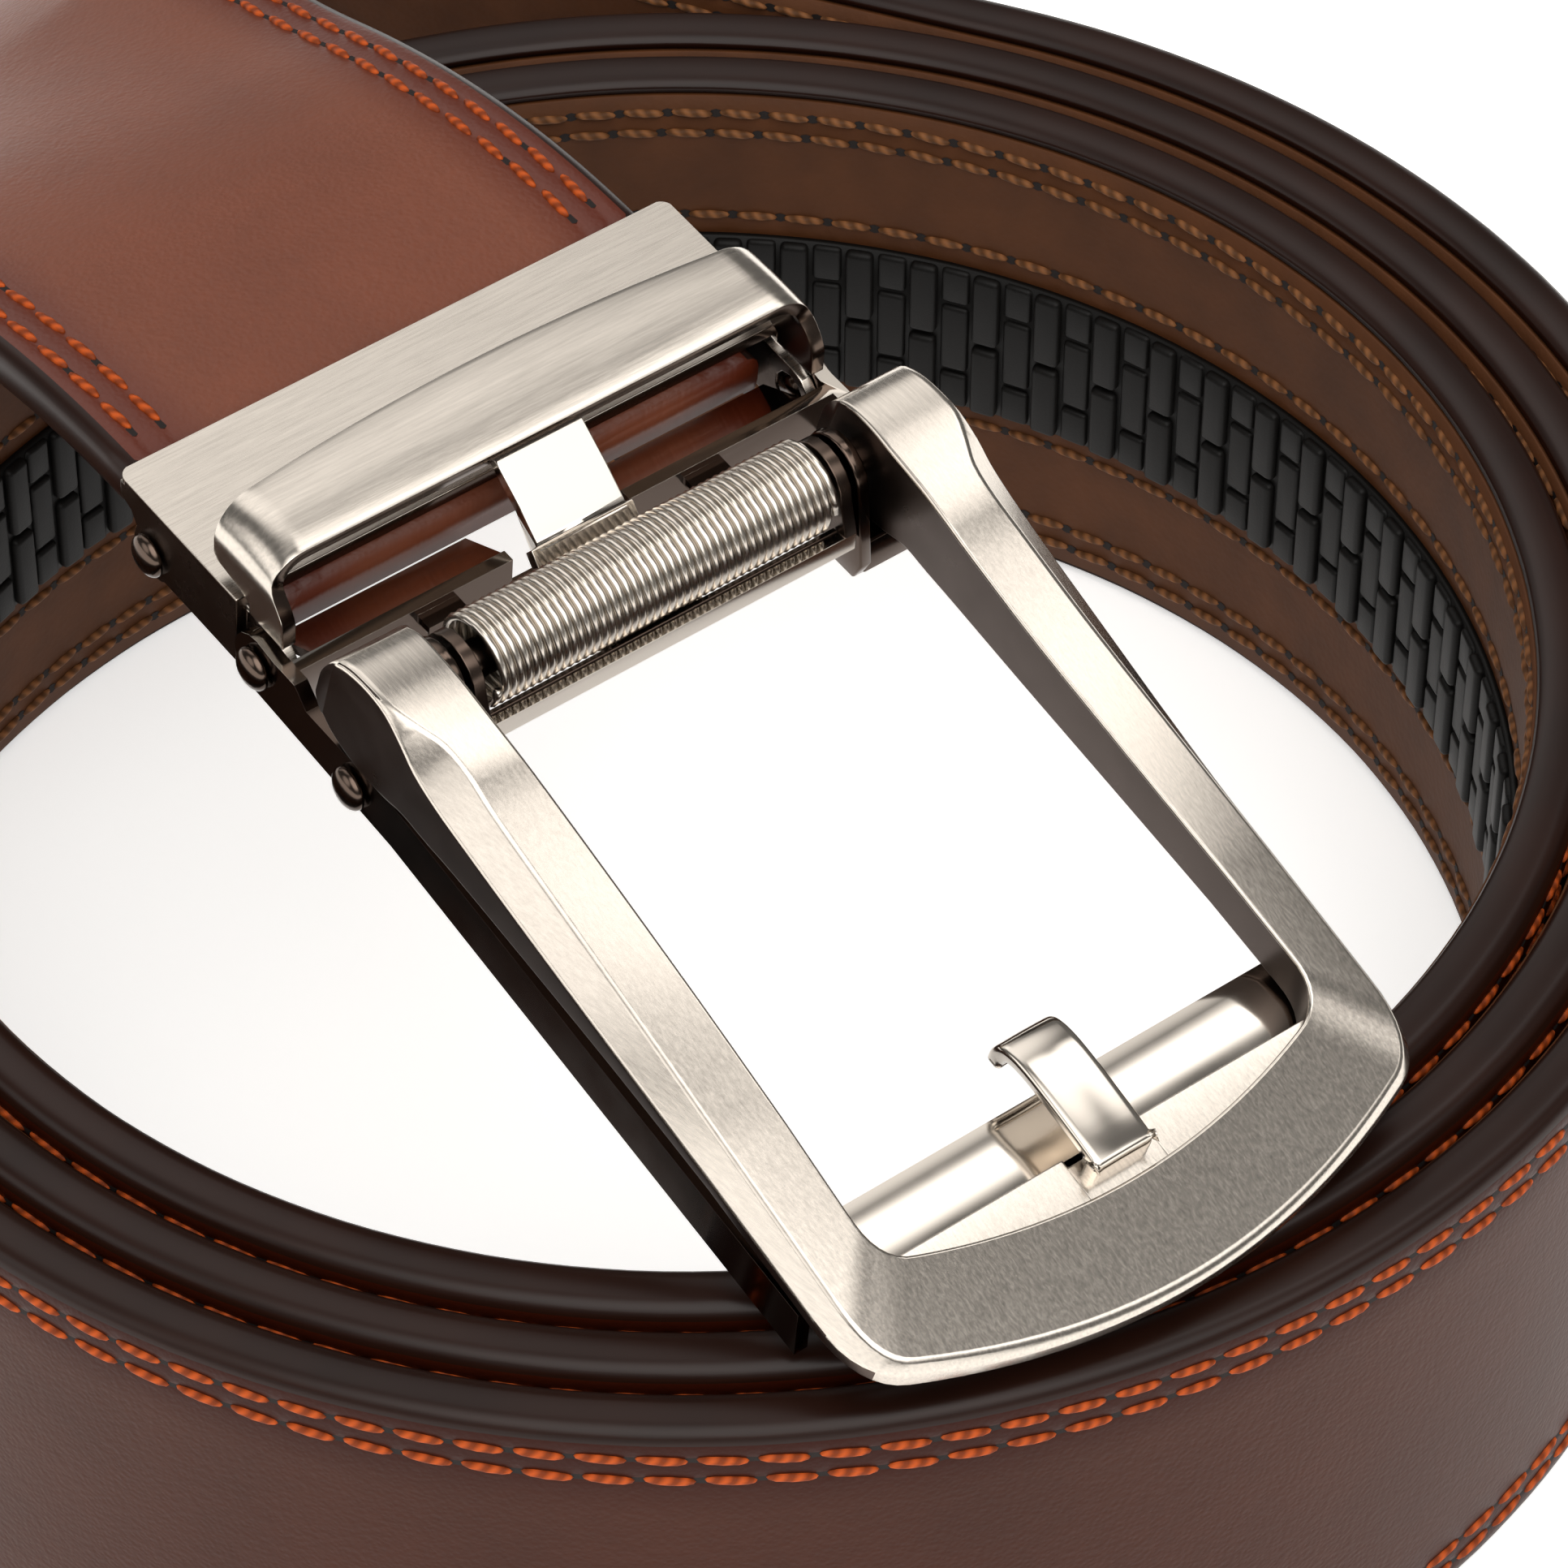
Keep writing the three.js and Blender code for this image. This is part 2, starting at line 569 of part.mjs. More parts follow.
function buckleBase() {
  const railOutline = [
    [hingePinX, hingePinZ - 2.05], [railBend, railTop - railHeight], [railEnd, railTop - railDrop - railHeight],
    [railEnd, railTop - railDrop], [railBend, railTop], [crossWallX + 2.6, railTop],
    [crossWallX + 1.5, crossWallTop], [crossWallX - 0.4, crossWallTop], [hingePinX, hingePinZ + 2.05],
  ];
  const rails = bothSides((side) => {
    const [y0, y1] = between(side, railInner, baseHalfWidth);
    const rail = joined(sidePlate(railOutline, y0, y1), crossPin(hingePinX, hingePinZ, y0, y1, 2.05, 16));
    return cut(
      rail,
      crossPin(hingePinX, hingePinZ, y0 - 1, y1 + 1, hingePinRadius + seatGap, 10),
      crossPin(railRivetX, railRivetZ, y0 - 1, y1 + 1, railRivetRadius + seatGap, 10),
    );
  });
  const wall = block(crossWallX, crossWallX + crossWallThick, -railInner - 0.01, railInner + 0.01,
    railTop - railHeight + 0.4, crossWallTop);
  const slot = block(crossWallX - 1, crossWallX + crossWallThick + 1, -slotHalf, slotHalf,
    crossWallTop - rampDrop - 0.4, crossWallTop + 1);
  const rampHalf = clampInner - hingeTab - 2 * runningGap;
  const ramps = bothSides((side) => sidePlate([
    [rampBack, crossWallTop - rampDrop - 0.7], [crossWallX + 0.2, crossWallTop - 0.9],
    [crossWallX + 0.2, crossWallTop - 0.15], [rampBack, crossWallTop - rampDrop],
  ], ...between(side, slotHalf, rampHalf)));
  const tabs = bothSides((side) => {
    const [y0, y1] = between(side, 7.6, 10.2);
    return block(crossWallX + crossWallThick - 0.01, crossWallX + crossWallThick + 1.1, y0, y1,
      crossWallTop - 1.1, crossWallTop - 0.5);
  });
  const barBack = railEnd - crossbarWidth;
  const barTop = railTop - railDrop;
  const bar = sidePlate([
    [barBack, barTop + crossbarWidth * railSlope - crossbarThick], [railEnd, barTop - crossbarThick],
    [railEnd, barTop - 0.2], [railEnd - 1.2, barTop + 0.15], [barBack + 0.9, barTop + 0.45], [barBack, barTop + 0.35],
  ], -railInner - 0.01, railInner + 0.01);
  return geometryOf(joined(rails, cut(wall, slot), ramps, tabs, bar));
}

function rodBracket(side) {
  const [y0, y1] = between(side, cheekInner, cheekInner + cheek);
  const blockOuter = railInner - seatGap;
  const [b0, b1] = between(side, cheekInner, blockOuter);
  const leg = sidePlate([
    [rodX - 2.1, rodZ - 0.8], [rodX + 2.2, rodZ - 0.5], [rodX + 3.0, railRivetZ + 1.0],
    [rodX + 2.6, railRivetZ - 1.4], [rodX - 1.2, railRivetZ - 1.4], [rodX - 2.2, railRivetZ + 0.6],
  ], y0, y1);
  const body = joined(
    leg,
    crossPin(rodX, rodZ, y0, y1, 2.25, 16),
    block(railRivetX - 1.4, railRivetX + 2.6, b0, b1, railRivetZ - 1.4, railRivetZ + 1.3),
  );
  const [h0, h1] = between(side, railInner - 3.2, railInner + 1);
  return geometryOf(cut(
    body,
    crossPin(rodX, rodZ, y0 - 1, y1 + 1, rodRadius + seatGap, 12),
    crossPin(railRivetX, railRivetZ, h0, h1, railRivetRadius + seatGap, 10),
  ));
}

function springRod() {
  const end = earBore - runningGap;
  return geometryOf(crossPin(rodX, rodZ, -end, end, rodRadius, 14));
}

function springCoil() {
  const body = crossPin(rodX, rodZ, -springHalf, springHalf, springRadius, 24);
  return geometryOf(cut(body, crossPin(rodX, rodZ, -springHalf - 1, springHalf + 1, rodRadius + runningGap, 14)));
}

function pawl() {
  const earEnd = pawlEarInner + pawlEar;
  const stripFront = rodX + 2.95;
  const stripTop = rodZ - 2.05;
  const stripBottom = rodZ - 3.35;
  const stripBack = stripFront - 0.65;
  const under = rodZ - springRadius - runningGap;
  const soleBottom = under - pawlSheet;
  const ears = bothSides((side) => {
    const [y0, y1] = between(side, pawlEarInner, earEnd);
    const web = sidePlate([
      [rodX - 1.2, rodZ - 1.9], [rodX + 2.3, rodZ], [stripFront, stripTop], [stripFront, stripBottom],
      [stripBack - 0.8, stripBottom],
    ], y0, y1);
    const ear = joined(web, crossPin(rodX, rodZ, y0, y1, 2.3, 16));
    return cut(ear, crossPin(rodX, rodZ, y0 - 1, y1 + 1, rodRadius + runningGap, 12));
  });
  const strip = block(stripBack, stripFront, -earEnd, earEnd, stripBottom, stripTop);
  const sole = sidePlate([
    [stripFront - 0.2, under], [rodX - 3.3, under], [rodX - 5.2, under + 2.1], [rodX - 5.7, under + 1.4],
    [rodX - 3.7, soleBottom], [rodX + 1.6, soleBottom], [stripFront - 0.2, stripBottom],
  ], -pawlHalf, pawlHalf);
  const finger = sidePlate([
    [rodX - 5.0, under + 1.9], [rodX - 5.5, under + 2.3], [rodX - 7.0, rodZ + 0.55], [rodX - 9.7, rodZ + 2.35],
    [rodX - 10.2, rodZ + 1.75], [rodX - 7.4, rodZ - 0.15], [rodX - 6.0, under + 1.1],
  ], -fingerHalf, fingerHalf);
  return geometryOf(joined(ears, strip, sole, finger));
}

// Front frame: two lofted arms with ears, and an end bar seen from above
function arm(side) {
  const rings = armRows.map((row) => [
    [row.inner, row.under], [row.inner, row.innerTop - 0.25], [row.inner - 0.3, row.innerTop],
    [row.ridge, row.ridgeTop], [row.outer, row.outerTop], [row.outer, row.under + 0.3],
    [row.outer + 0.3, row.under],
  ].map(([inward, z]) => new THREE.Vector3(row.along, side * (frameHalfEnd - inward), z)));
  const outline = [[0, 0], [0, 1.7], [0.3, 2], [3, 2], [4, 1], [4, 0.3], [3.7, 0]];
  return solidOf(loft(rings, outline));
}

function endBar() {
  const half = frameHalfEnd;
  const outer = new THREE.Shape();
  outer.moveTo(windowEnd, -half);
  outer.lineTo(frameEndCorner - 1.8, -half);
  outer.quadraticCurveTo(frameEndCorner + 0.2, -half, frameEndCorner + 0.75, -half + 2.2);
  outer.quadraticCurveTo(2 * frameEndArc - frameEndCorner - 0.75, 0, frameEndCorner + 0.75, half - 2.2);
  outer.quadraticCurveTo(frameEndCorner + 0.2, half, frameEndCorner - 1.8, half);
  outer.lineTo(windowEnd, half);
  const slab = planPlate(outer, endBottom, windowTop + 1, 12);
  const topCut = sidePlate([
    [windowEnd - 1, windowTop], [windowEnd, windowTop], [frameEndCorner, endTop], [frameEndArc - 1.2, endTop - 0.25],
    [frameEndArc + 1, endTop - 1.6], [frameEndArc + 1, windowTop + 3], [windowEnd - 1, windowTop + 3],
  ], -half - 1, half + 1);
  const bevels = bothSides((side) => sidePlateAlong([
    [side * (half - ridgeIn), windowTop + 0.1], [side * (half + 0.01), endTop - 1.2],
    [side * (half + 1), endTop - 1.2], [side * (half + 1), windowTop + 2],
    [side * (half - ridgeIn), windowTop + 2],
  ], windowEnd - 1, frameEndArc + 1));
  return cut(slab, topCut, bevels);
}

// A section [[y, z], ...] drawn along X from x0 to x1
function sidePlateAlong(outline, x0, x1) {
  const shape = new THREE.Shape(outline.map(([y, z]) => new THREE.Vector2(y, z)));
  const geometry = new THREE.ExtrudeGeometry(shape, { depth: x1 - x0, bevelEnabled: false });
  geometry.rotateX(Math.PI / 2);
  geometry.rotateZ(Math.PI / 2);
  geometry.translate(x0, 0, 0);
  return solidOf(geometry);
}

function frontFrame() {
  const arms = bothSides(arm);
  const cornerFill = bothSides((side) => {
    const fill = new THREE.Shape();
    const inner = side * windowHalfEnd;
    fill.moveTo(windowEnd + 0.1, inner);
    fill.lineTo(windowEnd - windowCorner, inner);
    fill.quadraticCurveTo(windowEnd, inner, windowEnd, inner - side * windowCorner);
    fill.lineTo(windowEnd + 0.1, inner - side * windowCorner);
    return planPlate(fill, endBottom + 0.6, windowTop, 5);
  });
  const shelf = new THREE.Shape();
  shelf.moveTo(windowEnd - 4, -windowHalfEnd + 0.4);
  shelf.lineTo(windowEnd, -windowHalfEnd + 0.4);
  shelf.quadraticCurveTo(2 * shelfArc - windowEnd, 0, windowEnd, windowHalfEnd - 0.4);
  shelf.lineTo(windowEnd - 4, windowHalfEnd - 0.4);
  const shelfCut = planPlate(shelf, windowTop - shelfDepth, windowTop + 3, 12);
  const notch = block(windowEnd - 1, windowEnd + notchDepth, -notchHalf, notchHalf, windowTop - 2 * shelfDepth,
    windowTop + 3);
  const bore = crossPin(0, 0, -earBore, earBore, rodRadius + runningGap, 14);
  return geometryOf(cut(joined(arms, endBar(), cornerFill), shelfCut, notch, bore));
}

function prong() {
  const root = windowEnd + notchDepth - runningGap;
  const seat = windowTop - 2 * shelfDepth + seatGap;
  return geometryOf(sidePlate([
    [prongTip, 1.4], [prongTip + 0.2, 2.9], [prongTip + 1.2, 3.85], [prongTip + 2.6, 4.1], [root, 3.7],
    [root, seat], [windowEnd - runningGap, seat], [prongTip + 2.4, 2.8], [prongTip + 1.4, 2.4],
    [prongTip + 0.9, 1.2],
  ], -prongHalf, prongHalf));
}

// Scene graph
const belt = new THREE.Group();
const standing = new THREE.Group();
const buckle = new THREE.Group();
const frame = new THREE.Group();
belt.add(standing);
standing.add(buckle);
buckle.add(frame);
buckle.position.set(buckleX, buckleY, buckleZ);
buckle.rotation.y = buckleDown;
frame.position.set(rodX, 0, rodZ);
frame.rotation.y = frameDown;

function place(group, name, geometry, finish) {
  const mesh = new THREE.Mesh(geometry, new THREE.MeshStandardMaterial(finishes[finish]));
  mesh.name = name;
  group.add(mesh);
}

place(standing, 'strap_leather', strapLeather(), 'leather');
place(standing, 'strap_lining', strapLining(), 'lining');
place(standing, 'ratchet_track', ratchetTrack(), 'track');
place(buckle, 'clamp_shell', clampShell(), 'brushed');
place(buckle, 'clamp_jaw', clampJaw(), 'dark');
place(buckle, 'keeper_arch', keeperArch(), 'polished');
place(buckle, 'buckle_base', buckleBase(), 'dark');
place(buckle, 'spring_rod', springRod(), 'polished');
place(buckle, 'spring_coil', springCoil(), 'polished');
place(buckle, 'pawl', pawl(), 'polished');
place(frame, 'front_frame', frontFrame(), 'brushed');
place(frame, 'prong', prong(), 'polished');
for (const [name, side] of [['left', -1], ['right', 1]]) {
  place(buckle, `jaw_pin_${name}`,
    domedPin(jawPinX, jawPinZ, side, clampHalf + seatGap, clampInner - runningGap - jawEar, jawPinRadius), 'dark');
  place(buckle, `hinge_pin_${name}`,
    domedPin(hingePinX, hingePinZ, side, baseHalfWidth + seatGap, clampInner - hingeTab, hingePinRadius), 'dark');
  place(buckle, `rail_rivet_${name}`,
    domedPin(railRivetX, railRivetZ, side, baseHalfWidth + seatGap, railInner - 3, railRivetRadius), 'dark');
  place(buckle, `rod_bracket_${name}`, rodBracket(side), 'dark');
}

// The origin is under the middle of the belt's box, on the surface that it stands on
belt.updateMatrixWorld(true);
const box = new THREE.Box3().setFromObject(belt, true);
standing.position.set(-(box.min.x + box.max.x) / 2, -(box.min.y + box.max.y) / 2, -box.min.z);
belt.updateMatrixWorld(true);

export default belt;
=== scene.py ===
# Ratchet belt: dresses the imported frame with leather, thread and nickel, as in the photograph.
# Lengths in the functions below are millimetres unless a name says otherwise.
import bisect
import math

import bmesh
import bpy
from mathutils import Matrix, Vector


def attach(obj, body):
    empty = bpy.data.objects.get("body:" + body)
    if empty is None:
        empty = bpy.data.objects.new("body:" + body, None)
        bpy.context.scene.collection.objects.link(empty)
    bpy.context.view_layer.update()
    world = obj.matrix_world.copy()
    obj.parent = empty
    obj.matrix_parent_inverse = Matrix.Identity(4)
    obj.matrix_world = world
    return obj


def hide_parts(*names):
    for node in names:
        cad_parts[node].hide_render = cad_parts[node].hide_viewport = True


bl_info = {
    "name": "Ratchet Belt",
    "version": (1, 0, 0),
    "blender": (4, 5, 0),
    "location": "View3D > Sidebar > Belt",
    "description": "Builds a coiled leather ratchet belt with its nickel frame buckle",
    "category": "Object",
}

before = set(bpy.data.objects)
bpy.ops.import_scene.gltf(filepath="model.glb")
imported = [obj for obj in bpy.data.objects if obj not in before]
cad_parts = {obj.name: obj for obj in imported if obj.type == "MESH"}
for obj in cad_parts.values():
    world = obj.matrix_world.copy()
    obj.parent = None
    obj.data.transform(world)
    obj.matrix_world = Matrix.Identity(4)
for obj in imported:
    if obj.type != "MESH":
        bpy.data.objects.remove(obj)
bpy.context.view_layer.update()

MM = 0.001
UP = Vector((0, 0, 1))
SHIFT = Vector((13.985, -1.029, 0.0))      # coil's middle in the part's frame
STRAP_WIDTH = 35.0
STRAP_HALF = STRAP_WIDTH / 2
BUCKLE_X, BUCKLE_Y, BUCKLE_Z = -14.8, -8.5, 52.2      # clamp plate's back edge, from the coil's middle
BUCKLE_DOWN = math.radians(5.02)
BUCKLE_PLACE = SHIFT + Vector((BUCKLE_X, BUCKLE_Y, BUCKLE_Z))
BUCKLE = Matrix.Translation(BUCKLE_PLACE) @ Matrix.Rotation(BUCKLE_DOWN, 4, "Y")
BUCKLE_BACK = BUCKLE.inverted()
ROD_X, ROD_Z = 22.5, 1.0                   # spring rod, in the buckle's frame
ROD = BUCKLE @ Matrix.Translation((ROD_X, 0, ROD_Z))
FRAME = ROD @ Matrix.Rotation(math.radians(12.85), 4, "Y")


# Sizes and colours

class BeltSizes(bpy.types.PropertyGroup):
    lining_inset: bpy.props.FloatProperty(
        name="Lining inset", description="In from the strap's edge, in millimetres", default=0.9)
    stitch_pitch: bpy.props.FloatProperty(
        name="Stitch pitch", description="From one stitch to the next, in millimetres", default=3.05)
    stitch_length: bpy.props.FloatProperty(
        name="Stitch length", description="Thread seen in one stitch, in millimetres", default=2.65)
    thread_width: bpy.props.FloatProperty(
        name="Thread width", description="Across one stitch, in millimetres", default=0.58)
    outer_row: bpy.props.FloatProperty(
        name="Outer row", description="In from the strap's edge, in millimetres", default=2.0)
    inner_row: bpy.props.FloatProperty(
        name="Inner row", description="In from the strap's edge, in millimetres", default=3.6)
    track_width: bpy.props.FloatProperty(
        name="Track width", description="Across the toothed track, in millimetres", default=11.3)
    track_column: bpy.props.FloatProperty(
        name="Track column", description="One column of the track's blocks, in millimetres", default=2.15)
    spring_radius: bpy.props.FloatProperty(
        name="Spring radius", description="Outside of the wound spring, in millimetres", default=2.75)
    spring_half: bpy.props.FloatProperty(
        name="Spring half length", description="Half of the wound spring, in millimetres", default=11.45)
    spring_wire: bpy.props.FloatProperty(
        name="Spring wire", description="Radius of the spring's wire, in millimetres", default=0.25)
    spring_turns: bpy.props.IntProperty(
        name="Spring turns", description="Turns of the wound spring", default=45)


class BeltColours(bpy.types.PropertyGroup):
    leather: bpy.props.StringProperty(
        name="Leather", description="Smooth face", default="#5f2f1b")
    leather_edge: bpy.props.StringProperty(
        name="Leather near edge", description="Darker, redder tone towards the edges", default="#4a1a09")
    edge_paint: bpy.props.StringProperty(
        name="Edge paint", description="Painted strap edge", default="#1e0d07")
    lining: bpy.props.StringProperty(
        name="Lining", description="Inner face", default="#4e2c14")
    thread: bpy.props.StringProperty(
        name="Thread", description="Outer stitches", default="#a04414")
    lining_thread: bpy.props.StringProperty(
        name="Lining thread", description="Inner stitches", default="#704829")
    track: bpy.props.StringProperty(
        name="Track", description="Toothed track", default="#0d0c0b")
    nickel: bpy.props.StringProperty(
        name="Nickel", description="Satin nickel plate", default="#d6cec4")
    # Painted shade: darker nickel for the frame's sides and underside, standing for their shade and dark
    # reflections
    shade_nickel: bpy.props.StringProperty(
        name="Side nickel", description="Painted shade on the frame's sides", default="#574b45")
    # Painted shade: the nickel darkened for sides, undersides and parts in shade, standing for their shade
    # and dark reflections
    dark_nickel: bpy.props.StringProperty(
        name="Nickel in painted shade", description="Painted shade and dark reflection on nickel", default="#5a4d45")
    floor: bpy.props.StringProperty(
        name="Floor", description="Pale studio floor", default="#fbfaf8")
    hole: bpy.props.StringProperty(
        name="Needle hole", description="Shadowed core", default="#140b08")


# Materials

def linear(hex_text):
    """Turns an sRGB hex colour into linear light with full alpha."""
    digits = hex_text.lstrip("#")
    parts = [int(digits[k:k + 2], 16) / 255 for k in (0, 2, 4)]
    light = [p / 12.92 if p <= 0.04045 else ((p + 0.055) / 1.055) ** 2.4 for p in parts]
    return (*light, 1.0)


def add_node(tree, kind, values=None, links=None, **settings):
    """Adds one node with its settings, socket values and incoming links."""
    node = tree.nodes.new(kind)
    for name, value in settings.items():
        setattr(node, name, value)
    for key, value in (values or {}).items():
        node.inputs[key].default_value = value
    for key, socket in (links or {}).items():
        tree.links.new(socket, node.inputs[key])
    return node


def new_material(name, colour=None, **shader):
    """A material with one shader; its constants are set on the shader's own sockets."""
    material = bpy.data.materials.new(name)
    material.use_nodes = True
    tree = material.node_tree
    tree.nodes.clear()
    body = add_node(tree, "ShaderNodeBsdfPrincipled", values=shader)
    if colour:
        body.inputs["Base Color"].default_value = colour
    add_node(tree, "ShaderNodeOutputMaterial", links={"Surface": body.outputs["BSDF"]})
    return material, tree, body


def strap_coordinates(tree, scale=(1.0, 1.0, 1.0), turn=0.0):
    """Millimetres along and across the strap, from its own UV map."""
    uv = add_node(tree, "ShaderNodeUVMap", uv_map="strap")
    return add_node(tree, "ShaderNodeMapping", values={"Scale": scale, "Rotation": (0, 0, turn)},
                    links={"Vector": uv.outputs["UV"]})


def buckle_coordinates(tree, scale):
    """Object coordinates in millimetres, stretched by scale."""
    coordinates = add_node(tree, "ShaderNodeTexCoord")
    return add_node(tree, "ShaderNodeMapping", values={"Scale": [k / MM for k in scale]},
                    links={"Vector": coordinates.outputs["Object"]})


def ramp(tree, factor, stops):
    """A colour ramp with the given places and colours."""
    node = add_node(tree, "ShaderNodeValToRGB", links={"Fac": factor})
    elements = node.color_ramp.elements
    while len(elements) < len(stops):
        elements.new(1.0)
    for element, (place, value) in zip(elements, stops):
        element.position = place
        element.color = value
    return node


def noise(tree, place, scale, detail, roughness=0.5):
    """Soft noise over the given coordinates."""
    return add_node(tree, "ShaderNodeTexNoise", {"Scale": scale, "Detail": detail, "Roughness": roughness},
                    {"Vector": place.outputs[0]}).outputs["Fac"]


def spread(tree, value, low, high):
    """Stretches a value of 0 to 1 over a range."""
    stretched = add_node(tree, "ShaderNodeMapRange", {"To Min": low, "To Max": high}, {"Value": value})
    return stretched.outputs["Result"]


def shaded(colour, by):
    """A linear colour made darker or paler."""
    return (*(min(1.0, by * part) for part in colour[:3]), 1.0)


def tint(tree, body, factor, hex_text, stops):
    """Base colour in tones of one colour; each stop is a place and a share of its brightness."""
    tone = ramp(tree, factor, [(place, shaded(linear(hex_text), by)) for place, by in stops])
    tree.links.new(tone.outputs["Color"], body.inputs["Base Color"])


def add_bump(tree, body, height, strength, depth):
    """Fine relief, its depth in millimetres."""
    bump = add_node(tree, "ShaderNodeBump", {"Strength": strength, "Distance": depth * MM},
                    {"Height": height})
    tree.links.new(bump.outputs["Normal"], body.inputs["Normal"])


def smooth_leather(colours):
    # Full-grain calf, waxed and plated: a fine pebble, cloudy tone, darker and redder towards the edges.
    # It is darker and duller on the coil than on the run to the clamp, where the photograph's light falls.
    material, tree, body = new_material("waxed_calf_leather", **{"Roughness": 0.4})
    place = strap_coordinates(tree)
    base = linear(colours.leather)
    deep, pale = shaded(base, 0.78), shaded(base, 1.12)
    tone = ramp(tree, noise(tree, place, 0.06, 3.0, 0.6), [(0.3, deep), (0.55, base), (0.75, pale)])
    fleck = ramp(tree, noise(tree, place, 1.4, 5.0, 0.65), [(0.35, deep), (0.65, pale)])
    mottle = add_node(tree, "ShaderNodeMix", {0: 0.25}, {6: tone.outputs["Color"], 7: fleck.outputs["Color"]},
                      data_type="RGBA")
    parts = add_node(tree, "ShaderNodeSeparateXYZ", links={"Vector": place.outputs[0]})
    out = add_node(tree, "ShaderNodeMath", links={0: parts.outputs["Y"]}, operation="ABSOLUTE")
    near = add_node(tree, "ShaderNodeMapRange", {"From Min": 10.5, "From Max": 15.2},
                    {"Value": out.outputs[0]}, interpolation_type="SMOOTHSTEP")
    tinted = add_node(tree, "ShaderNodeMix", {7: linear(colours.leather_edge)},
                      {0: near.outputs["Result"], 6: mottle.outputs[2]}, data_type="RGBA")
    lit = add_node(tree, "ShaderNodeMapRange", {"From Min": LENGTHS[-1] - 190, "From Max": LENGTHS[-1] - 110},
                   {"Value": parts.outputs["X"]}, interpolation_type="SMOOTHSTEP").outputs["Result"]
    shown = add_node(tree, "ShaderNodeVectorMath",
                     links={0: tinted.outputs[2], 3: spread(tree, lit, 0.42, 1.35)}, operation="SCALE")
    tree.links.new(shown.outputs["Vector"], body.inputs["Base Color"])
    tree.links.new(spread(tree, lit, 0.12, 0.4), body.inputs["Specular IOR Level"])
    pebble = add_node(tree, "ShaderNodeTexVoronoi", {"Scale": 3.6, "Randomness": 1.0},
                      {"Vector": place.outputs[0]}, feature="SMOOTH_F1")
    relief = add_node(tree, "ShaderNodeMath", operation="ADD",
                      links={0: pebble.outputs["Distance"], 1: noise(tree, place, 0.8, 6.0, 0.7)})
    add_bump(tree, body, relief.outputs[0], 0.18, 0.13)
    return material


def painted_edge(colours):
    # Edge paint, brushed on in coats and burnished: dark, rounded and softly glossy with faint run marks
    material, tree, body = new_material(
        "burnished_edge_paint", **{"Roughness": 0.34, "Specular IOR Level": 0.24})
    streak = noise(tree, strap_coordinates(tree, scale=(0.12, 3.0, 1.0)), 1.0, 4.0)
    tint(tree, body, streak, colours.edge_paint, [(0.3, 0.8), (0.7, 1.3)])
    add_bump(tree, body, streak, 0.12, 0.1)
    return material


def lining_leather(colours):
    # Split leather lining, dyed and lightly sanded: matte with fine pores
    material, tree, body = new_material(
        "split_leather_lining", **{"Roughness": 0.65, "Specular IOR Level": 0.2})
    place = strap_coordinates(tree)
    pores = add_node(tree, "ShaderNodeTexVoronoi", {"Scale": 2.2}, {"Vector": place.outputs[0]})
    tint(tree, body, noise(tree, place, 0.25, 5.0), colours.lining, [(0.3, 0.82), (0.7, 1.15)])
    add_bump(tree, body, pores.outputs["Distance"], 0.2, 0.1)
    return material


def bonded_thread(name, hex_text):
    # Bonded polyester thread: two plies with a slanted twist, slightly waxy. The twist is drawn coarse.
    material, tree, body = new_material(name, **{"Roughness": 0.6, "Specular IOR Level": 0.2})
    place = strap_coordinates(tree, turn=math.radians(38))
    twist = add_node(tree, "ShaderNodeTexWave", {"Scale": 0.42, "Distortion": 1.2, "Detail": 2.0},
                     {"Vector": place.outputs[0]})
    tint(tree, body, twist.outputs["Fac"], hex_text, [(0.1, 0.55), (0.6, 1.0), (1.0, 1.35)])
    add_bump(tree, body, twist.outputs["Fac"], 0.5, 0.15)
    return material


def needle_hole(colours):
    # Punched hole beside a stitch: a dark disc, painted shade for its shadowed core
    return new_material("punched_hole_painted_shade", linear(colours.hole), Roughness=0.9)[0]


def track_polymer(colours):
    # Injection-moulded polyurethane, matte with a fine sparked texture
    material, tree, body = new_material(
        "moulded_polyurethane", **{"Roughness": 0.5, "Specular IOR Level": 0.18})
    grit = noise(tree, strap_coordinates(tree), 6.0, 3.0)
    tint(tree, body, grit, colours.track, [(0.3, 1.0), (0.8, 1.6)])
    add_bump(tree, body, grit, 0.2, 0.05)
    return material


def brushed_nickel(name, hex_text, grain, roughness):
    # Nickel plate over zinc, brushed one way and sealed: long hairlines, drawn coarser than the real belt's
    material, tree, body = new_material(name, **{"Metallic": 1.0, "Roughness": roughness})
    hair = noise(tree, buckle_coordinates(tree, grain), 1.0, 6.0, 0.7)
    tint(tree, body, hair, hex_text, [(0.3, 0.8), (0.7, 1.1)])
    tree.links.new(spread(tree, hair, roughness - 0.06, roughness + 0.08), body.inputs["Roughness"])
    add_bump(tree, body, hair, 0.12, 0.02)
    return material


def polished_nickel(name, hex_text, roughness):
    # Buffed nickel plate: near mirror, with a faint haze from handling
    material, tree, body = new_material(name, linear(hex_text), **{"Metallic": 1.0, "Roughness": roughness})
    haze = noise(tree, buckle_coordinates(tree, (0.35, 0.35, 0.35)), 1.0, 3.0)
    tree.links.new(spread(tree, haze, roughness * 0.7, roughness * 1.4), body.inputs["Roughness"])
    return material


# The strap's route, repeated from the part's source

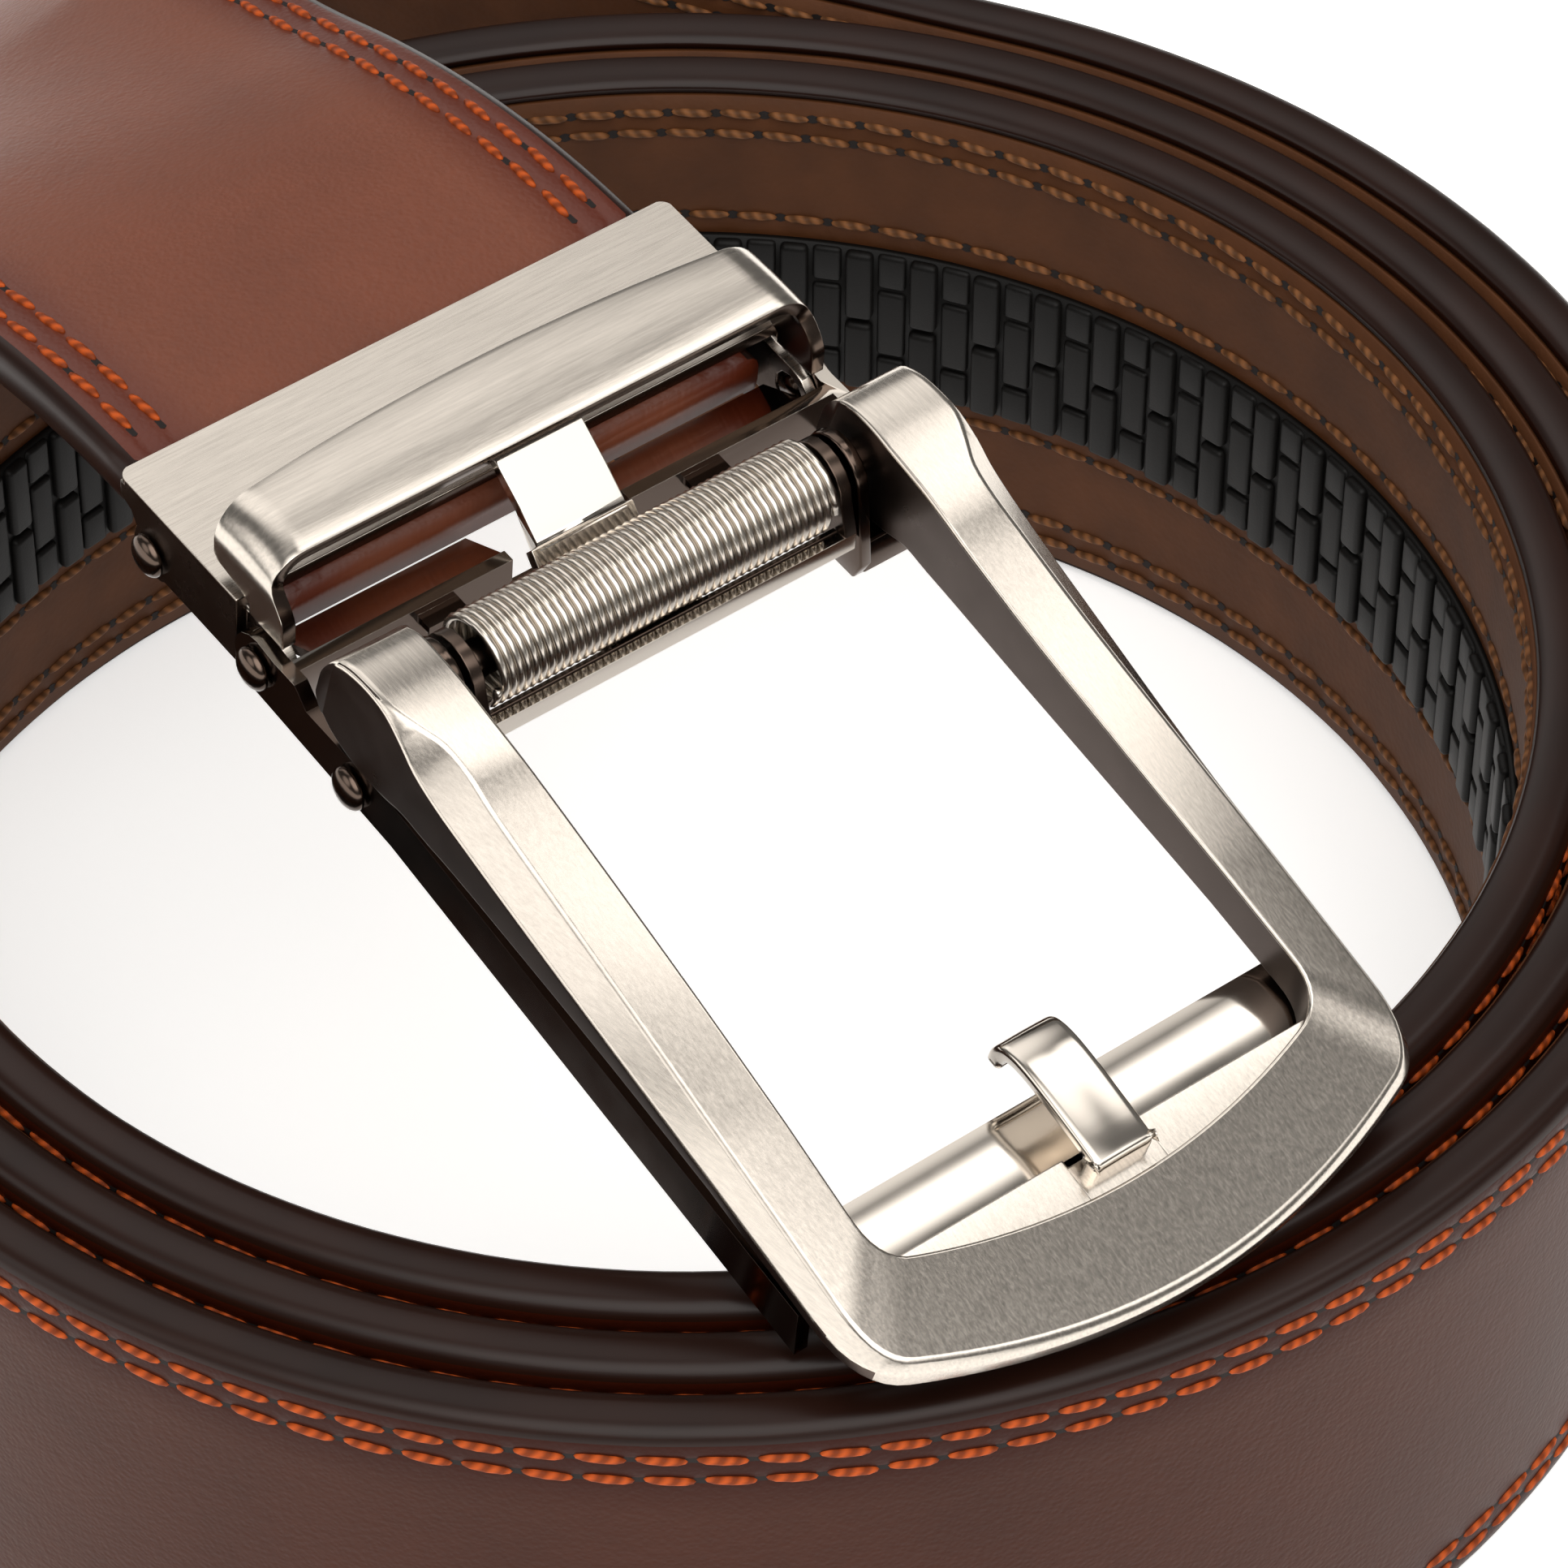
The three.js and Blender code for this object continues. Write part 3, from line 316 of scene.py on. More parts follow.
COIL_RADIUS = 47.05
WRAP_PITCH = 4.12
COIL_OVAL = 0.5
COIL_OVAL_ANGLE = math.radians(61)
COIL_START = math.radians(242.7)
COIL_SWEEP = math.radians(960)
TURN_RADIUS = 18.0
CLIMB_START_SHARE = 0.55
CLIMB_SOFT = 45.0
CREST_SOFT = 38.0
BANK_PAST = 16.0
CLAMP_LENGTH = 11.3
TONGUE_WIDTH = 32.6
TONGUE_END = CLAMP_LENGTH + 0.45
STRAP_CLAMP_Z = -(0.8 + 0.3 + 1.6)       # plate, gap and half the leather below the plate's top


def station(place, along, bank, share=1.0):
    """Place, width direction and face direction of the strap at one point."""
    left = UP.cross(along).normalized()
    lift = along.cross(left)
    across = lift * math.cos(bank) + left * math.sin(bank)
    return place + SHIFT, across, along.cross(across), share


def coil_place(sweep):
    """Middle of the strap after a given sweep from its free end."""
    angle = COIL_START + sweep
    radius = COIL_RADIUS + WRAP_PITCH * sweep / (2 * math.pi)
    radius += COIL_OVAL * math.cos(2 * (angle - COIL_OVAL_ANGLE))
    return Vector((radius * math.cos(angle), radius * math.sin(angle), STRAP_HALF))


def heading(place_of, value, step):
    """Direction of a path, from two places close on either side."""
    return (place_of(value + step) - place_of(value - step)).normalized()


def smooth(share):
    """Eases a share from 0 to 1, held at both ends."""
    held = min(max(share, 0.0), 1.0)
    return held * held * (3 - 2 * held)


def bezier(points, t):
    a, b, c, d = points
    s = 1 - t
    return a * s ** 3 + b * 3 * s * s * t + c * 3 * s * t * t + d * t ** 3


def strap_route():
    """Stations from the strap's free end, round the coil, over it and into the clamp."""
    stations = []
    count = 400
    for k in range(count):
        sweep = COIL_SWEEP * k / count
        stations.append(station(coil_place(sweep), heading(coil_place, sweep, 0.001), 0.0))
    start = coil_place(COIL_SWEEP)
    leave = heading(coil_place, COIL_SWEEP, 0.001)
    angle = math.atan2(leave.y, leave.x) + 2 * math.pi
    clamp_z = BUCKLE_Z + STRAP_CLAMP_Z * math.cos(BUCKLE_DOWN)
    clamp_x = BUCKLE_X + STRAP_CLAMP_Z * math.sin(BUCKLE_DOWN)
    drop = TURN_RADIUS * (1 - math.cos(angle))
    straight = (BUCKLE_Y + drop - start.y) / math.sin(angle)
    turn_x = start.x + straight * math.cos(angle)
    centre = Vector((turn_x - TURN_RADIUS * math.sin(angle), BUCKLE_Y + TURN_RADIUS))
    turn = TURN_RADIUS * (2 * math.pi - angle)
    total = straight + turn + clamp_x - centre.x
    climb_start = straight * CLIMB_START_SHARE
    climb = [Vector((climb_start, STRAP_HALF)), Vector((climb_start + CLIMB_SOFT, STRAP_HALF)),
             Vector((total - CREST_SOFT, clamp_z + CREST_SOFT * math.tan(BUCKLE_DOWN))),
             Vector((total, clamp_z))]

    def height(length):
        if length <= climb_start:
            return STRAP_HALF
        low, high = 0.0, 1.0
        for _ in range(40):
            middle = (low + high) / 2
            if bezier(climb, middle).x < length:
                low = middle
            else:
                high = middle
        return bezier(climb, low).y

    def place(length):
        z = height(length)
        if length < straight:
            return Vector((start.x + length * math.cos(angle), start.y + length * math.sin(angle), z))
        if length < straight + turn:
            at = angle + (length - straight) / TURN_RADIUS
            return Vector((centre.x + TURN_RADIUS * math.sin(at), centre.y - TURN_RADIUS * math.cos(at), z))
        return Vector((centre.x + length - straight - turn, BUCKLE_Y, z))

    count = round(total)
    for k in range(count):
        length = total * k / count
        bank = math.pi / 2 * smooth((length - straight * 0.8) / (straight * 0.2 + turn + BANK_PAST))
        stations.append(station(place(length), heading(place, length, 0.05), bank))
    along = Vector((math.cos(BUCKLE_DOWN), 0, -math.sin(BUCKLE_DOWN)))
    lift = Vector((math.sin(BUCKLE_DOWN), 0, math.cos(BUCKLE_DOWN)))
    for x, width in ((-0.2, STRAP_WIDTH), (0.4, TONGUE_WIDTH), (TONGUE_END, TONGUE_WIDTH)):
        at = Vector((BUCKLE_X, BUCKLE_Y, BUCKLE_Z)) + along * x + lift * STRAP_CLAMP_Z
        stations.append(station(at, along, math.pi / 2, width / STRAP_WIDTH))
    lengths = [0.0]
    for (a, *_), (b, *_) in zip(stations, stations[1:]):
        lengths.append(lengths[-1] + (b - a).length)
    return stations, lengths


ROUTE, LENGTHS = strap_route()
CLAMP_MOUTH = LENGTHS[-3]


def on_route(flat):
    """Bends a point of the flat strap (along, across, out of the face) onto its route."""
    length = min(max(flat.x, 0.0), LENGTHS[-1])
    high = min(max(bisect.bisect_right(LENGTHS, length), 1), len(LENGTHS) - 1)
    low = high - 1
    part = (length - LENGTHS[low]) / max(LENGTHS[high] - LENGTHS[low], 1e-9)
    place = ROUTE[low][0].lerp(ROUTE[high][0], part)
    across = ROUTE[low][1].lerp(ROUTE[high][1], part).normalized()
    face = ROUTE[low][2].lerp(ROUTE[high][2], part).normalized()
    share = ROUTE[low][3] * (1 - part) + ROUTE[high][3] * part
    return (place + across * flat.y * share + face * flat.z) * MM


# Making pieces

STRAP_STEP = 1.6       # between the strap's rows of points


def finish_piece(name, bm, body, materials, replaces=(), flat_strap=False):
    """Turns a bmesh in millimetres into a piece; a flat strap piece is bent onto the route first."""
    if flat_strap:
        uv = bm.loops.layers.uv.new("strap")
        for face in bm.faces:
            for loop in face.loops:
                loop[uv].uv = (loop.vert.co.x, loop.vert.co.y)
        for vert in bm.verts:
            vert.co = on_route(vert.co)
    else:
        bmesh.ops.scale(bm, vec=(MM, MM, MM), verts=bm.verts)
    for face in bm.faces:
        face.smooth = True
    mesh = bpy.data.meshes.new(name)
    bm.to_mesh(mesh)
    bm.free()
    for material in materials:
        mesh.materials.append(material)
    piece = bpy.data.objects.new(name, mesh)
    bpy.context.scene.collection.objects.link(piece)
    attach(piece, body)
    if replaces:
        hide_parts(*replaces)
    return piece


def loft(rings):
    """A grid drawn through closed rings of equal count, with its ends filled."""
    bm = bmesh.new()
    count, around = len(rings), len(rings[0])
    bmesh.ops.create_grid(bm, x_segments=count - 1, y_segments=around, size=0.5)
    if len(bm.verts) != count * (around + 1):
        raise RuntimeError("the grid has another number of rows than the loft")
    for vert in bm.verts:
        row, column = round((vert.co.x + 0.5) * (count - 1)), round((vert.co.y + 0.5) * around)
        vert.co = rings[row][column % around]
    bmesh.ops.remove_doubles(bm, verts=bm.verts, dist=0.0005)
    bmesh.ops.holes_fill(bm, edges=[e for e in bm.edges if e.is_boundary], sides=0)
    bmesh.ops.recalc_face_normals(bm, faces=bm.faces)
    return bm


def extrude_profile(profile, start, end):
    """Draws a closed profile [(across, out), ...] along the flat strap."""
    count = max(1, round((end - start) / STRAP_STEP))
    return loft([[Vector((start + (end - start) * k / count, across, out)) for across, out in profile]
                 for k in range(count + 1)])


def verts_of(geometry):
    return [part for part in geometry if isinstance(part, bmesh.types.BMVert)]


def merge(bm, other):
    """Adds another shape to this one."""
    mesh = bpy.data.meshes.new("merged")
    other.to_mesh(mesh)
    other.free()
    bm.from_mesh(mesh)
    bpy.data.meshes.remove(mesh)


def add_copies(bm, make, step, count):
    """Makes one small shape and repeats it along the flat strap, doubling the row each time."""
    small = bmesh.new()
    make(small)
    sizes = [len(small.verts), len(small.edges), len(small.faces)]
    done = 1
    while done < count:
        take = min(done, count - done)
        row = []
        for parts, size in zip((small.verts, small.edges, small.faces), sizes):
            row += list(parts)[:take * size]
        drawn = bmesh.ops.duplicate(small, geom=row)["geom"]
        bmesh.ops.translate(small, vec=(step * done, 0, 0), verts=verts_of(drawn))
        done += take
    merge(bm, small)


def sharp_edges(bm, angle):
    return [e for e in bm.edges if len(e.link_faces) == 2 and e.calc_face_angle() > math.radians(angle)]


def bevel(bm, edges, offset, segments, held=False):
    """Rounds the given edges over; held keeps the rounding within short edges."""
    bmesh.ops.bevel(bm, geom=edges, offset=offset, offset_type="OFFSET", segments=segments, profile=0.5,
                    affect="EDGES", material=-1, clamp_overlap=held)


def thicken(bm, thickness):
    """Turns an open sheet's faces up and gives it its thickness below them."""
    bmesh.ops.recalc_face_normals(bm, faces=bm.faces)
    if sum(face.normal.z for face in bm.faces) < 0:
        bmesh.ops.reverse_faces(bm, faces=bm.faces)
    bmesh.ops.solidify(bm, geom=bm.faces[:], thickness=thickness)
    bmesh.ops.recalc_face_normals(bm, faces=bm.faces)


def second_finish(bm, wanted):
    """Gives the faces that pass the test the piece's second finish."""
    for face in bm.faces:
        if wanted(face):
            face.material_index = 1


def even_shading(piece):
    piece.modifiers.new("even_shading", "WEIGHTED_NORMAL").weight = 60


def refined(node, body, materials, wanted=None, offset=0.1, held=False, shadow_bar=None):
    """A copy of a CAD node with its edges rounded over, for the light to catch."""
    bm = bmesh.new()
    bm.from_mesh(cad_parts[node].data)
    bmesh.ops.scale(bm, vec=(1 / MM,) * 3, verts=bm.verts)
    bmesh.ops.remove_doubles(bm, verts=bm.verts, dist=0.004)
    bmesh.ops.dissolve_degenerate(bm, dist=0.004, edges=bm.edges)
    bmesh.ops.dissolve_limit(bm, angle_limit=math.radians(1.5), verts=bm.verts, edges=bm.edges)
    bevel(bm, [e for e in sharp_edges(bm, 28) if e.calc_length() > 6 * offset], offset, 2, held)
    if shadow_bar:
        bmesh.ops.create_cube(bm, size=1.0, matrix=shadow_bar)
    if wanted:
        second_finish(bm, wanted)
    even_shading(finish_piece(f"{node}_dressed", bm, body, materials, [node]))


def in_buckle(face):
    """Middle of a face in the buckle's frame."""
    return BUCKLE_BACK @ face.calc_center_median()


def curve(points, t):
    """Point on a quadratic curve through its first and last points."""
    a, b, c = (Vector(p) for p in points)
    return a * (1 - t) ** 2 + b * 2 * t * (1 - t) + c * t * t


def between(rows, steps):
    """Smooth rows between given ones."""
    out = []
    for k in range(len(rows) - 1):
        a, b, c, d = (Vector(rows[min(max(k + n, 0), len(rows) - 1)]) for n in (-1, 0, 1, 2))
        for step in range(steps):
            t = step / steps
            out.append(0.5 * (2 * b + (c - a) * t + (2 * a - 5 * b + 4 * c - d) * t * t
                              + (3 * b - a - 3 * c + d) * t ** 3))
    out.append(Vector(rows[-1]))
    return out


def strap_profile():
    """Section of the leather: flat face with a shallow groove at each stitch row, rounded edges."""
    half_thickness = 1.6
    side = [(17.5, -0.55), (17.5, 0.55), (17.36, 1.05), (17.05, 1.38), (16.6, 1.55), (16.1, 1.6),
            (15.75, 1.55), (15.5, 1.5), (15.25, 1.55), (14.7, 1.6), (14.15, 1.55), (13.9, 1.5),
            (13.65, 1.55), (13.2, 1.6), (11.0, 1.6), (8.0, 1.6), (4.0, 1.6)]
    under = [(4.0, -1.05), (8.0, -1.05), (12.0, -1.05), (16.79, -1.05), (16.8, -half_thickness),
             (17.1, -1.45), (17.38, -1.1)]
    right = under + side
    left = [(-across, out) for across, out in reversed(right)]
    return right + [(0.0, 1.6)] + left + [(0.0, -1.05)]


# Operators

class BELT_OT_leather(bpy.types.Operator):
    """Strap leather with its painted edges, bent onto the coil"""
    bl_idname = "belt.leather"
    bl_label = "Strap Leather"

    def execute(self, context):
        colours = context.scene.belt_colours
        bm = extrude_profile(strap_profile(), 0.0, LENGTHS[-1])
        for face in bm.faces:
            face.material_index = 1 if abs(face.calc_center_median().y) > 16.4 else 0
        finish_piece("strap_leather_dressed", bm, "strap", [smooth_leather(colours), painted_edge(colours)],
                     ["strap_leather"], flat_strap=True)
        return {"FINISHED"}


class BELT_OT_lining(bpy.types.Operator):
    """Lining on the strap's inner side"""
    bl_idname = "belt.lining"
    bl_label = "Strap Lining"

    def execute(self, context):
        half = STRAP_HALF - context.scene.belt_sizes.lining_inset
        across = [half * k / 5 for k in range(-5, 6)]
        profile = [(w, -1.25) for w in across] + [(half, -1.62)] + [(w, -1.75) for w in reversed(across)]
        profile.append((-half, -1.62))
        bm = extrude_profile(profile, 0.1, CLAMP_MOUTH)
        finish_piece("strap_lining_dressed", bm, "strap", [lining_leather(context.scene.belt_colours)],
                     ["strap_lining"], flat_strap=True)
        return {"FINISHED"}


class BELT_OT_track(bpy.types.Operator):
    """Toothed track: a strip with columns of moulded blocks"""
    bl_idname = "belt.track"
    bl_label = "Ratchet Track"

    def execute(self, context):
        sizes = context.scene.belt_sizes
        half = sizes.track_width / 2
        start, end = 6.0, 297.0
        profile = [(-half, -1.7), (half, -1.7), (half, -2.15), (0, -2.2), (-half, -2.15)]
        bm = extrude_profile(profile, start, end)
        pitch = 2 * sizes.track_column
        tall = [(-half + 0.05, -0.2), (0.2, half - 0.05)]
        low = [(-half + 0.05, -half * 0.52), (-half * 0.46, half * 0.46), (half * 0.52, half - 0.05)]
        for offset, spans, top, wide in ((0.0, tall, -2.75, 1.85), (sizes.track_column, low, -2.5, 1.9)):
            for w0, w1 in spans:
                def block(small, w0=w0, w1=w1, offset=offset, top=top, wide=wide):
                    made = bmesh.ops.create_cube(small, size=1.0)
                    bmesh.ops.scale(small, vec=(wide, w1 - w0, top + 1.9), verts=made["verts"])
                    bmesh.ops.translate(small, vec=(start + offset + sizes.track_column / 2, (w0 + w1) / 2,
                                                    (top - 1.9) / 2), verts=made["verts"])
                    bmesh.ops.recalc_face_normals(small, faces=small.faces)
                    bevel(small, small.edges[:], 0.38, 3, held=True)
                add_copies(bm, block, pitch, int((end - start) // pitch))
        finish_piece("ratchet_track_dressed", bm, "strap", [track_polymer(context.scene.belt_colours)],
                     ["ratchet_track"], flat_strap=True)
        return {"FINISHED"}


class BELT_OT_stitches(bpy.types.Operator):
    """Rows of stitches with their needle holes, on the face and on the lining"""
    bl_idname = "belt.stitches"
    bl_label = "Stitches"

    def rows(self, name, rows, thread, slot, sizes, hole_finish):
        threads, holes = bmesh.new(), bmesh.new()
        pitch = sizes.stitch_pitch
        for across, surface, out, start, stop, slant in rows:
            count = int((stop - start) // pitch)
            spot = start + pitch / 2

            def stitch(small, across=across, surface=surface, out=out, spot=spot, slant=slant):
                matrix = (Matrix.Translation((spot, across, surface + out * 0.03))
                          @ Matrix.Rotation(math.radians(slant), 4, "Z")
                          @ Matrix.Diagonal((sizes.stitch_length / 2, sizes.thread_width / 2, 0.3, 1.0))
                          @ Matrix.Rotation(math.radians(90), 4, "Y"))
                bmesh.ops.create_uvsphere(small, u_segments=8, v_segments=6, radius=1.0)
                for vert in small.verts:
                    vert.co.z = math.copysign(abs(vert.co.z) ** 0.7, vert.co.z)
                bmesh.ops.transform(small, matrix=matrix, verts=small.verts)

            def hole(small, across=across, surface=surface, out=out, spot=spot):
                matrix = (Matrix.Translation((spot + pitch / 2, across, surface + out * 0.035))
                          @ Matrix.Diagonal((0.42, 0.34, 1.0, 1.0)))
                bmesh.ops.create_circle(small, cap_ends=True, segments=8, radius=1.0, matrix=matrix)
                if out < 0:
                    bmesh.ops.reverse_faces(small, faces=small.faces)

            add_copies(threads, stitch, pitch, count)
            add_copies(holes, hole, pitch, count - 1)
        finish_piece(name, threads, "strap", [thread], flat_strap=True)
        finish_piece(name + "_holes", holes, "strap", [hole_finish], flat_strap=True)

    def execute(self, context):
        sizes, colours = context.scene.belt_sizes, context.scene.belt_colours
        # across, surface, out of the face, start, stop, slant in degrees
        face, back = [], []
        for side in (1, -1):
            for inset, start in ((sizes.outer_row, 2.0), (sizes.inner_row, 2.4)):
                face.append((side * (STRAP_HALF - inset), 1.5, 1, start, CLAMP_MOUTH, -side * 4))
                back.append((side * (STRAP_HALF - inset - 0.2), -1.75, -1, start, CLAMP_MOUTH, side * 4))
            back.append((side * (sizes.track_width / 2 + 1.5), -1.75, -1, 4.0, 300.0, 0))
        self.rows("face_stitches", face, bonded_thread("rust_thread", colours.thread),
                  "smooth_leather", sizes, needle_hole(colours))
        self.rows("lining_stitches", back, bonded_thread("tan_thread", colours.lining_thread),
                  "lining_leather", sizes, needle_hole(colours))
        return {"FINISHED"}


class BELT_OT_clamp(bpy.types.Operator):
    """Clamp shell and its toothed lever"""
    bl_idname = "belt.clamp"
    bl_label = "Clamp"

    def execute(self, context):
        colours = context.scene.belt_colours
        # The shell's sides and underside take the darker nickel, painted shade and dark reflection; the
        # toothed lever takes it all over
        refined("clamp_shell", "strap", [
            brushed_nickel("satin_nickel_across", colours.nickel, (6.0, 0.25, 6.0), 0.27),
            polished_nickel("clamp_side_painted_shade", colours.dark_nickel, 0.25)],
            lambda face: face.normal.z < 0.5)
        refined("clamp_jaw", "jaw", [polished_nickel("jaw_nickel_painted_shade", colours.dark_nickel, 0.2)])
        return {"FINISHED"}


# The arch's band, in the buckle's frame: half width, top, bend radius, foot, thickness
ARCH_HALF, ARCH_TOP, ARCH_BEND, ARCH_FOOT, ARCH_WALL = 18.1, 4.8, 2.6, -0.55, 0.85


def arch_point(along, share):
    """Point of the band, -1 to 1 from foot to foot and 0 to 1 from its back edge to its front edge."""
    flat = ARCH_HALF - ARCH_BEND
    bend = ARCH_BEND * math.pi / 2
    far = abs(along) * (flat + bend + ARCH_TOP - ARCH_BEND - ARCH_FOOT)
    if far <= flat:
        y, z, crown = far, ARCH_TOP, 1.0
    elif far <= flat + bend:
        turn = (far - flat) / ARCH_BEND
        y, z = flat + ARCH_BEND * math.sin(turn), ARCH_TOP - ARCH_BEND + ARCH_BEND * math.cos(turn)
        crown = 1 - (far - flat) / bend
    else:
        y, z, crown = ARCH_HALF, ARCH_TOP - ARCH_BEND - (far - flat - bend), 0.0
    back = 7.4 + 1.3 * (y / ARCH_HALF) ** 2
    if y > flat:
        back += 3.3 * smooth((1.1 - z) / 0.8)
    front = 13.75 + 1.4 * smooth((3.6 - z) / 2.8)
    z -= 0.32 * (2 * share - 1) ** 2 * crown
    return Vector((back + (front - back) * share, math.copysign(y, along), z))


def arch_in_shade(face):
    """Underside, front rim and the inner sides of the arch's legs, which are painted in shade."""
    across = face.calc_center_median().y
    inner = abs(across) > 17.0 and face.normal.y * across < -3
    return face.normal.z < -0.15 or face.normal.x > 0.62 or inner


class BELT_OT_arch(bpy.types.Operator):
    """Keeper arch, bent from one polished band"""
    bl_idname = "belt.arch"
    bl_label = "Keeper Arch"

    def execute(self, context):
        bm = bmesh.new()
        bmesh.ops.create_grid(bm, x_segments=120, y_segments=16, size=0.5)
        for vert in bm.verts:
            vert.co = arch_point(vert.co.x * 2, vert.co.y + 0.5)
        thicken(bm, ARCH_WALL)
        bevel(bm, sharp_edges(bm, 50), 0.2, 3, held=True)
        # Faces in shade take the darker nickel: painted shade and dark reflection
        second_finish(bm, arch_in_shade)
        bmesh.ops.transform(bm, matrix=BUCKLE, verts=bm.verts)
        colours = context.scene.belt_colours
        finish_piece("keeper_arch_dressed", bm, "base",
                     [brushed_nickel("satin_nickel_arch", colours.nickel, (4.0, 0.2, 4.0), 0.2),
                      polished_nickel("arch_painted_shade_nickel", colours.dark_nickel, 0.2)],
                     ["keeper_arch"])
        return {"FINISHED"}


class BELT_OT_base(bpy.types.Operator):
    """Base with its rails and crossbar, and the rod's brackets"""
    bl_idname = "belt.base"
    bl_label = "Buckle Base"

    def execute(self, context):
        colours = context.scene.belt_colours
        # Painted shade: the base and the rod's brackets take the darker nickel, but for the base's faces
        # turned up outside the stretch under the frame, which take the bright nickel
        plate = polished_nickel("base_painted_shade_nickel", colours.dark_nickel, 0.13)
        refined("buckle_base", "base", [plate, polished_nickel("crossbar_nickel", colours.nickel, 0.1)],
                lambda face: face.normal.z > 0.3 and not 16.6 < in_buckle(face).x < 57.0,
                held=True)
        wrap, inner, thickness = 2.35, 12.9, 0.8
        outline = [(ROD_X + wrap * math.cos(math.radians(a)), ROD_Z + wrap * math.sin(math.radians(a)))
                   for a in range(10, 201, 19)]
        outline += [(ROD_X - 2.2, -3.4), (ROD_X - 1.1, -5.4), (ROD_X + 2.5, -5.4), (ROD_X + 3.1, -4.0)]
        for name, side in (("left", -1), ("right", 1)):
            bm = bmesh.new()
            cheek = bm.faces.new([bm.verts.new((x, side * inner, z)) for x, z in outline])
            drawn = bmesh.ops.extrude_face_region(bm, geom=[cheek])["geom"]
            bmesh.ops.translate(bm, vec=(0, side * thickness, 0), verts=verts_of(drawn))
            bmesh.ops.create_cube(bm, size=1.0, matrix=Matrix.Translation((ROD_X + 0.6, side * 15.65, -4.15))
                                  @ Matrix.Diagonal((4.0, 4.1, 2.5, 1.0)))
            bmesh.ops.recalc_face_normals(bm, faces=bm.faces)
            bevel(bm, sharp_edges(bm, 50), 0.15, 3)
            bmesh.ops.transform(bm, matrix=BUCKLE, verts=bm.verts)
            node = f"rod_bracket_{name}"
            finish_piece(f"{node}_dressed", bm, "base", [plate], [node])
        return {"FINISHED"}


class BELT_OT_pins(bpy.types.Operator):
    """Domed pins and rivets at the buckle's sides"""
    bl_idname = "belt.pins"
    bl_label = "Pins and Rivets"

    def execute(self, context):
        # Painted shade: the pins and rivets take the darker nickel, for their shade and dark reflections
        steel = polished_nickel("domed_rivet_steel_painted_shade", context.scene.belt_colours.dark_nickel, 0.16)
        head, dome = 1.3, 0.63
        for node, body, x, z, face, inner, radius in (
                ("jaw_pin", "strap", 3.3, -3.6, 18.6, 16.7, 0.7),
                ("hinge_pin", "base", 13.6, -3.0, 18.85, 17.05, 0.9),
                ("rail_rivet", "base", ROD_X, -4.2, 18.85, 14.85, 0.8)):
            points = [(0.0, inner), (radius, inner), (radius, face), (head, face)]
            points += [(head * math.cos(a), face + 0.12 + dome * math.sin(a))
                       for a in [math.pi / 2 * k / 6 for k in range(7)]]
            for name, side in (("left", -1), ("right", 1)):
                bm = bmesh.new()
                verts = [bm.verts.new((r, side * y, 0)) for r, y in points]
                edges = [bm.edges.new(pair) for pair in zip(verts, verts[1:])]
                bmesh.ops.spin(bm, geom=verts + edges, cent=(0, 0, 0), axis=(0, 1, 0), dvec=(0, 0, 0),
                               angle=2 * math.pi, steps=24, use_merge=True, use_duplicate=False)
                bmesh.ops.remove_doubles(bm, verts=bm.verts, dist=0.001)
                bmesh.ops.recalc_face_normals(bm, faces=bm.faces)
                bmesh.ops.transform(bm, matrix=BUCKLE @ Matrix.Translation((x, 0, z)), verts=bm.verts)
                pin = f"{node}_{name}"
                finish_piece(f"{pin}_dressed", bm, body, [steel], [pin])
        return {"FINISHED"}


class BELT_OT_spring(bpy.types.Operator):
    """Wound spring on its rod"""
    bl_idname = "belt.spring"
    bl_label = "Spring"

    def execute(self, context):
        sizes = context.scene.belt_sizes
        wire, turns = sizes.spring_wire, sizes.spring_turns
        length = 2 * (sizes.spring_half - wire)
        steps = turns * 20
        bm = bmesh.new()
        start = Matrix.Translation((sizes.spring_radius - wire, -length / 2, 0))
        bmesh.ops.create_circle(bm, cap_ends=False, segments=8, radius=wire, matrix=start)
        bmesh.ops.spin(bm, geom=bm.verts[:] + bm.edges[:], cent=(0, 0, 0), axis=(0, 1, 0),
                       dvec=(0, length / steps, 0), angle=2 * math.pi * turns, steps=steps, use_merge=False,
                       use_duplicate=False)
        bmesh.ops.holes_fill(bm, edges=[e for e in bm.edges if e.is_boundary], sides=0)
        bmesh.ops.recalc_face_normals(bm, faces=bm.faces)
        bmesh.ops.transform(bm, matrix=ROD, verts=bm.verts)
        colours = context.scene.belt_colours
        finish_piece("spring_coil_dressed", bm, "base",
                     [polished_nickel("spring_wire_steel", colours.nickel, 0.22)],
                     ["spring_coil"])
        rod_radius, rod_length = 1.1, 34.6
        bm = bmesh.new()
        bmesh.ops.create_cone(bm, cap_ends=True, segments=36, radius1=rod_radius, radius2=rod_radius,
                              depth=rod_length, matrix=ROD @ Matrix.Rotation(math.radians(90), 4, "X"))
        bevel(bm, sharp_edges(bm, 60), 0.15, 2)
        # Painted shade: the rod takes the darker nickel
        finish_piece("spring_rod_dressed", bm, "base",
                     [polished_nickel("ground_steel_rod_painted_shade", colours.dark_nickel, 0.15)],
                     ["spring_rod"])
        return {"FINISHED"}


